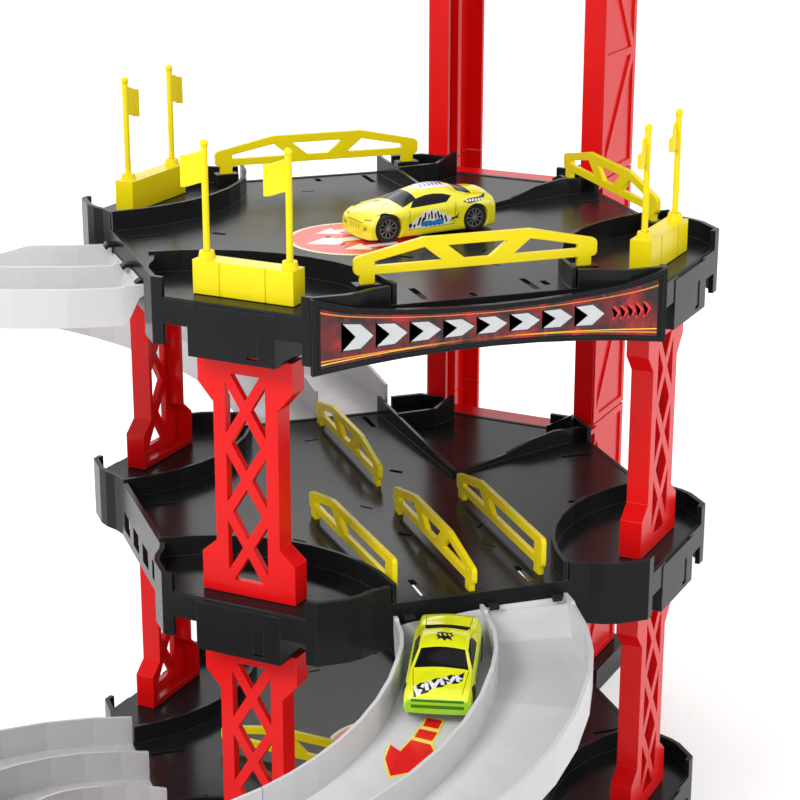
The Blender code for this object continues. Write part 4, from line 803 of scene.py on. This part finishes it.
def dress_car(car, stations, panes, marks, paint, bottom, round_top, half_tread):
    """A smooth body, windows, prints and wheels in place of a car's solids."""
    place = car_place(car)
    solid = car_solid(f"{car}_form", stations, bottom, round_top)
    shell = grown(solid, f"{car}_bodywork", 0.0)
    for x in (-WHEELBASE / 2, WHEELBASE / 2):
        for side in (-1, 1):
            work = bmesh.new()
            spot = Matrix.Translation((x, side * ARCH_OUT, WHEEL_RADIUS))
            bmesh.ops.create_cone(work, cap_ends=True, segments=48, radius1=ARCH_RADIUS,
                                  radius2=ARCH_RADIUS, depth=ARCH_DEPTH,
                                  matrix=spot @ Matrix.Rotation(math.pi / 2, 4, "X"))
            boolean(shell, from_work(work, f"{car}_arch"), "DIFFERENCE")
    shell.data.transform(place)
    give(smooth(shell, 35.0), paint, car, f"{car}_body")

    skin = Skin(car, solid, place)
    skin.pane("top", "windscreen", panes["windscreen"], 0.0130, OVER_ROOF, f"{car}_windows")
    skin.pane("top", "rear_window", panes["rear_window"], 0.0140, OVER_ROOF)
    skin.pane("side", "side_windows", panes["side_windows"], -SIDE_REACH, SIDE_REACH)
    seams(skin)
    marks(skin)
    bpy.data.objects.remove(solid, do_unlink=True)

    for end, x in (("front", WHEELBASE / 2), ("rear", -WHEELBASE / 2)):
        wheel_pair(f"{car}_{end}_tyres", place, x, half_tread, f"{car}_{end}_wheels")
    for slot in NODES[f"{car}_chassis"].material_slots:
        slot.material = UNDERBODY


def circle(centre, radius, steps=64):
    """Points of a flat circle."""
    turns = [2 * math.pi * i / steps for i in range(steps)]
    return [(centre[0] + radius * math.cos(turn), centre[1] + radius * math.sin(turn))
            for turn in turns]


def arrow(tip, length, width, heading):
    """A plain arrow whose point is at the tip."""
    shape = [(0.0, 0.0), (-0.42 * length, 0.5 * width), (-0.42 * length, 0.17 * width),
             (-length, 0.17 * width), (-length, -0.17 * width), (-0.42 * length, -0.17 * width),
             (-0.42 * length, -0.5 * width)]
    c, s = math.cos(math.radians(heading)), math.sin(math.radians(heading))
    return [(tip[0] + c * x - s * y, tip[1] + s * x + c * y) for x, y in shape]


def deck_sticker(name, centre, radius, floor, heading):
    """A round road sign in red and white, with arrows."""
    c, s = math.cos(math.radians(heading)), math.sin(math.radians(heading))

    def spot(x, y):
        return (centre[0] + radius * (c * x - s * y), centre[1] + radius * (s * x + c * y))

    def plate(part, loop, layers, surface):
        item = prism(f"{name}_{part}", loop, floor + LAYER, floor + layers * LAYER)
        give(item, surface, "garage")

    plate("edge", circle(centre, radius), 6, WHITE_PRINT_AND_GLINT)
    plate("line", circle(centre, radius * 0.965), 9, INK_YELLOW)
    plate("disc", circle(centre, radius * 0.935), 12, INK_RED)
    arrows = ((0.80, 0.0, 1.25, 0.62), (0.42, 0.52, 0.86, 0.42), (0.42, -0.52, 0.86, 0.42))
    for number, (x, y, length, width) in enumerate(arrows, 1):
        loop = arrow(spot(x, y), length * radius, width * radius, heading)
        plate(f"arrow_{number}", loop, 15, WHITE_PRINT_AND_GLINT)
    dashes = ((-0.62, 0.30, 0.36), (-0.60, -0.30, 0.36), (0.28, 0.24, 0.24), (0.28, -0.24, 0.24))
    for number, (x, y, size) in enumerate(dashes, 1):
        ends = spot(x - size / 2, y * 0.9), spot(x + size / 2, y * 1.1)
        loop = stripe(*ends, radius * 0.07, radius * 0.05)
        plate(f"dash_{number}", loop, 15, INK_ORANGE)


def ramp_drop(turn):
    """Height of a ramp's floor from its upper deck's floor, at a turn in degrees."""
    entry = math.degrees(math.asin((PORT_EDGE - RAMP_RADIUS) / RAMP_RADIUS))
    return -RAMP_STEP - RAMP_FALL * (turn - entry) / (RAMP_TURN - 2 * entry)


def on_ramp(level, start, turn, out, lift):
    """A point over a lane: turn in degrees, out from the ramp's centre line, lift off the floor."""
    angle = math.radians(-turn)
    reach = RAMP_RADIUS + out
    spot = Vector((reach * math.cos(angle) - RAMP_RADIUS, reach * math.sin(angle) - RAMP_RADIUS,
                   FLOORS[level] + ramp_drop(turn) + lift))
    return Matrix.Rotation(math.radians(start), 4, "Z") @ spot


def ramp_sticker(name, level, start, lane, first, shapes, surface, layers):
    """Printed shapes that follow a lane; along in mm from the first turn, across in mm."""
    def point(along, across, height):
        turn = first + math.degrees(along / 1000.0 / (RAMP_RADIUS + lane))
        return on_ramp(level, start, turn, lane + across / 1000.0, height * LAYER)

    work = bmesh.new()
    for loop in shapes:
        rows = [[point(along, across, height) for along, across in loop]
                for height in (layers, 2)]
        add_block(work, *rows)
    give(finish_block(work, name, True), surface, "garage")


def ramp_arrow(name, level, start, lane, first):
    """Three dashes and an arrowhead, red on a yellow outline, each bent with the lane."""
    def dash(low, high, half, grow):
        return [(low - grow, -half - grow), (high + grow, -half - grow * 1.2),
                (high + grow, half + grow * 1.2), (low - grow, half + grow)]

    def head(low, grow):
        right = [(low - grow, 4.2 + grow), (low + 7.5, 4.8 + grow),
                 (low + 5.5 - grow, 10.5 + grow * 1.6), (low + 13.5, 8.0 + grow)]
        left = [(along, -across) for along, across in right]
        return left + [(low + 20.5 + grow * 1.8, 0.0)] + list(reversed(right))

    for part, grow, layers, surface in (("outline", 0.7, 40, INK_YELLOW),
                                        ("fill", 0.0, 52, INK_RED)):
        shapes = [dash(0.0, 4.6, 3.2, grow), dash(6.6, 11.4, 3.8, grow), head(13.4, grow)]
        ramp_sticker(f"{name}_{part}", level, start, lane, first, shapes, surface, layers)


def port_hooks(name, level, start):
    """Small hooks of the deck that reach over the ramp's first edge, beside its walls."""
    outline = [(-0.1185, -0.0040), (-0.1226, -0.0040), (-0.1243, -0.0054), (-0.1236, -0.0068),
               (-0.1224, -0.0058), (-0.1185, -0.0058)]
    width = 0.0042
    for number, x in enumerate((-0.0350, 0.0022, 0.0308), 1):
        work = bmesh.new()
        add_block(work, *[[(across, y, FLOORS[level] + z) for y, z in outline]
                          for across in (x, x + width)])
        work.transform(Matrix.Rotation(math.radians(start), 4, "Z"))
        give(finish_block(work, f"{name}_hook_{number}"), BLACK, "garage")


def sign_graphics():
    """Chevrons and streaks in the sign's recess, where the real one carries its print."""
    plane = -0.12810  # the recess's face
    base = FLOORS[2] - 0.023  # the sign's lowest edge
    half = 0.0752  # half the recess's width
    margin = 0.0022  # from the recess's edges to the print

    def at(x, share):
        """A point of the print: x across, and a share of the way up between its curved edges."""
        bow = 1 - (x / half) ** 2
        low = 0.0055 * bow + margin
        high = 0.031 - 0.0085 * bow ** 0.6 - margin
        return (x, low + (high - low) * share)

    def upright(name, loops, layers, surface):
        work = bmesh.new()
        for loop in loops:
            add_block(work, *[[(x, plane + (4 - level) * LAYER, base + z) for x, z in loop]
                              for level in (layers, 0)])
        give(finish_block(work, name, True), surface, "garage")

    steps = 40
    xs = [-0.0715 + 0.143 * i / steps for i in range(steps + 1)]
    panel = [at(x, 0.0) for x in xs] + [at(x, 1.0) for x in reversed(xs)]
    upright("sign_backing", [panel], 10, SIGN_PRINT)
    lines = ((0.10, 0.05, 0.030, INK_ORANGE), (0.93, 0.88, 0.026, INK_ORANGE),
             (0.05, 0.12, 0.020, INK_YELLOW))
    for number, (left, right, thick, surface) in enumerate(lines, 1):
        shares = [left + (right - left) * i / steps for i in range(steps + 1)]
        line = [at(x, share) for x, share in zip(xs, shares)]
        back = [at(x, share + thick) for x, share in zip(xs, shares)]
        upright(f"sign_line_{number}", [line + list(reversed(back))], 18, surface)

    def chevron(x, width, depth, low, high):
        middle = (low + high) / 2
        return [at(x, low), at(x + width, low), at(x + width + depth, middle),
                at(x + width, high), at(x, high), at(x + depth, middle)]

    spots = [-0.0625 + number * 0.0140 for number in range(8)]
    large = [chevron(x, 0.0072, 0.0052, 0.26, 0.78) for x in spots]
    edges = [chevron(x - 0.00065, 0.0085, 0.0052, 0.215, 0.825) for x in spots]
    small = [chevron(0.0512 + number * 0.0034, 0.0014, 0.0026, 0.36, 0.66) for number in range(5)]
    upright("sign_chevrons", large, 20, INK_GREY)
    upright("sign_chevron_edges", edges, 15, INK_BLACK)
    upright("sign_small_chevrons", small, 20, INK_RED)


def seen_ray(tree):
    """One where a ray from the camera, a mirror or glass arrives, and zero for plain light."""
    path = tree.nodes.new("ShaderNodeLightPath")
    sources = [path.outputs[f"Is {kind} Ray"] for kind in ("Camera", "Glossy", "Transmission")]
    total = sources[0]
    for source in sources[1:]:
        either = tree.nodes.new("ShaderNodeMath")
        either.operation = "MAXIMUM"
        tree.links.new(total, either.inputs[0])
        tree.links.new(source, either.inputs[1])
        total = either.outputs[0]
    return total


def camera_view():
    """The photo's camera, as fitted to the decks' corners."""
    camera = bpy.data.cameras.new("camera")
    camera.lens = 95.265
    camera.sensor_width = 36.0
    camera.shift_x = 0.0125
    right = Vector((0.9483, -0.3173, 0.0)).normalized()
    ahead = Vector((0.3173 * 0.9494, 0.9483 * 0.9494, -0.3140)).normalized()
    up = right.cross(ahead).normalized()
    turn = Matrix((right, up, -ahead)).transposed().to_4x4()
    eye = placed("camera", camera)
    eye.matrix_world = Matrix.Translation((-0.2948, -0.880, 0.5054)) @ turn
    bpy.context.scene.camera = eye


def lamps():
    """Four soft lamps; each has a place, a size and a power."""
    kinds = (("key", (-1.05, -0.62, 1.25), 0.60, 13.5), ("fill", (1.25, -0.55, 0.60), 0.90, 5.5),
             ("low", (-0.55, -1.35, 0.34), 0.90, 4.0), ("back", (0.1, 1.3, 1.2), 1.00, 7.0))
    middle = Vector((0.0, 0.0, 0.17))
    for name, place, size, power in kinds:
        lamp = bpy.data.lights.new(name, "AREA")
        lamp.size = size
        lamp.energy = power
        item = placed(name, lamp)
        item.location = place
        item.rotation_euler = (middle - item.location).to_track_quat("-Z", "Y").to_euler()


def world_light():
    """A white world that lights softly and looks white."""
    world = bpy.data.worlds.new("world")
    bpy.context.scene.world = world
    world.use_nodes = True
    tree = world.node_tree
    ground = tree.nodes["Background"]
    ground.inputs["Color"].default_value = (1.0, 1.0, 1.0, 1.0)
    level = tree.nodes.new("ShaderNodeMapRange")
    level.inputs["To Min"].default_value = WORLD_LIGHT[0]
    level.inputs["To Max"].default_value = WORLD_LIGHT[1]
    tree.links.new(seen_ray(tree), level.inputs["Value"])
    tree.links.new(level.outputs["Result"], ground.inputs["Strength"])


def white_floor():
    """A floor that takes the object's shadow and fades to white away from it."""
    look = Nodes("floor_white", 0.6, 0.1)
    look.shader.inputs["Base Color"].default_value = (0.90, 0.90, 0.90, 1.0)
    look.shader.inputs["Emission Color"].default_value = (1.0, 1.0, 1.0, 1.0)
    reach = look.add("ShaderNodeVectorMath", operation="LENGTH")
    look.link(look.coords, reach.inputs[0])
    glow = look.add("ShaderNodeMath", operation="MULTIPLY")
    look.link(seen_ray(look.tree), glow.inputs[0])
    look.link(look.span(reach.outputs["Value"], *FLOOR_GLOW, *FLOOR_GLOW_REACH), glow.inputs[1])
    look.link(glow.outputs[0], look.shader.inputs["Emission Strength"])

    work = bmesh.new()
    bmesh.ops.create_grid(work, x_segments=1, y_segments=1, size=4.0)
    floor = from_work(work, "floor")
    floor.location.z = -0.0002
    floor.data.materials.append(look.surface)


bpy.context.scene.view_settings.view_transform = "Standard"
camera_view()
lamps()
world_light()
white_floor()
dress()
dress_car("yellow_car", COUPE, COUPE_PANES, coupe_marks, PAINT_YELLOW,
          bottom=0.0010, round_top=1.0, half_tread=0.0138)
dress_car("lime_car", WEDGE, WEDGE_PANES, wedge_marks, PAINT_LIME,
          bottom=0.0038, round_top=0.35, half_tread=0.0151)
deck_sticker("top_sign", (-0.020, -0.010), radius=0.030, floor=FLOORS[2], heading=188.0)
deck_sticker("ground_sign", (-0.003, -0.005), radius=0.030, floor=FLOORS[0], heading=215.0)
ramp_arrow("front_arrow", level=1, start=0, lane=INNER_LANE, first=39.5)
ramp_arrow("left_arrow", level=2, start=-90, lane=INNER_LANE, first=60.0)
port_hooks("middle_port", level=1, start=0)
port_hooks("top_port", level=2, start=-90)
sign_graphics()
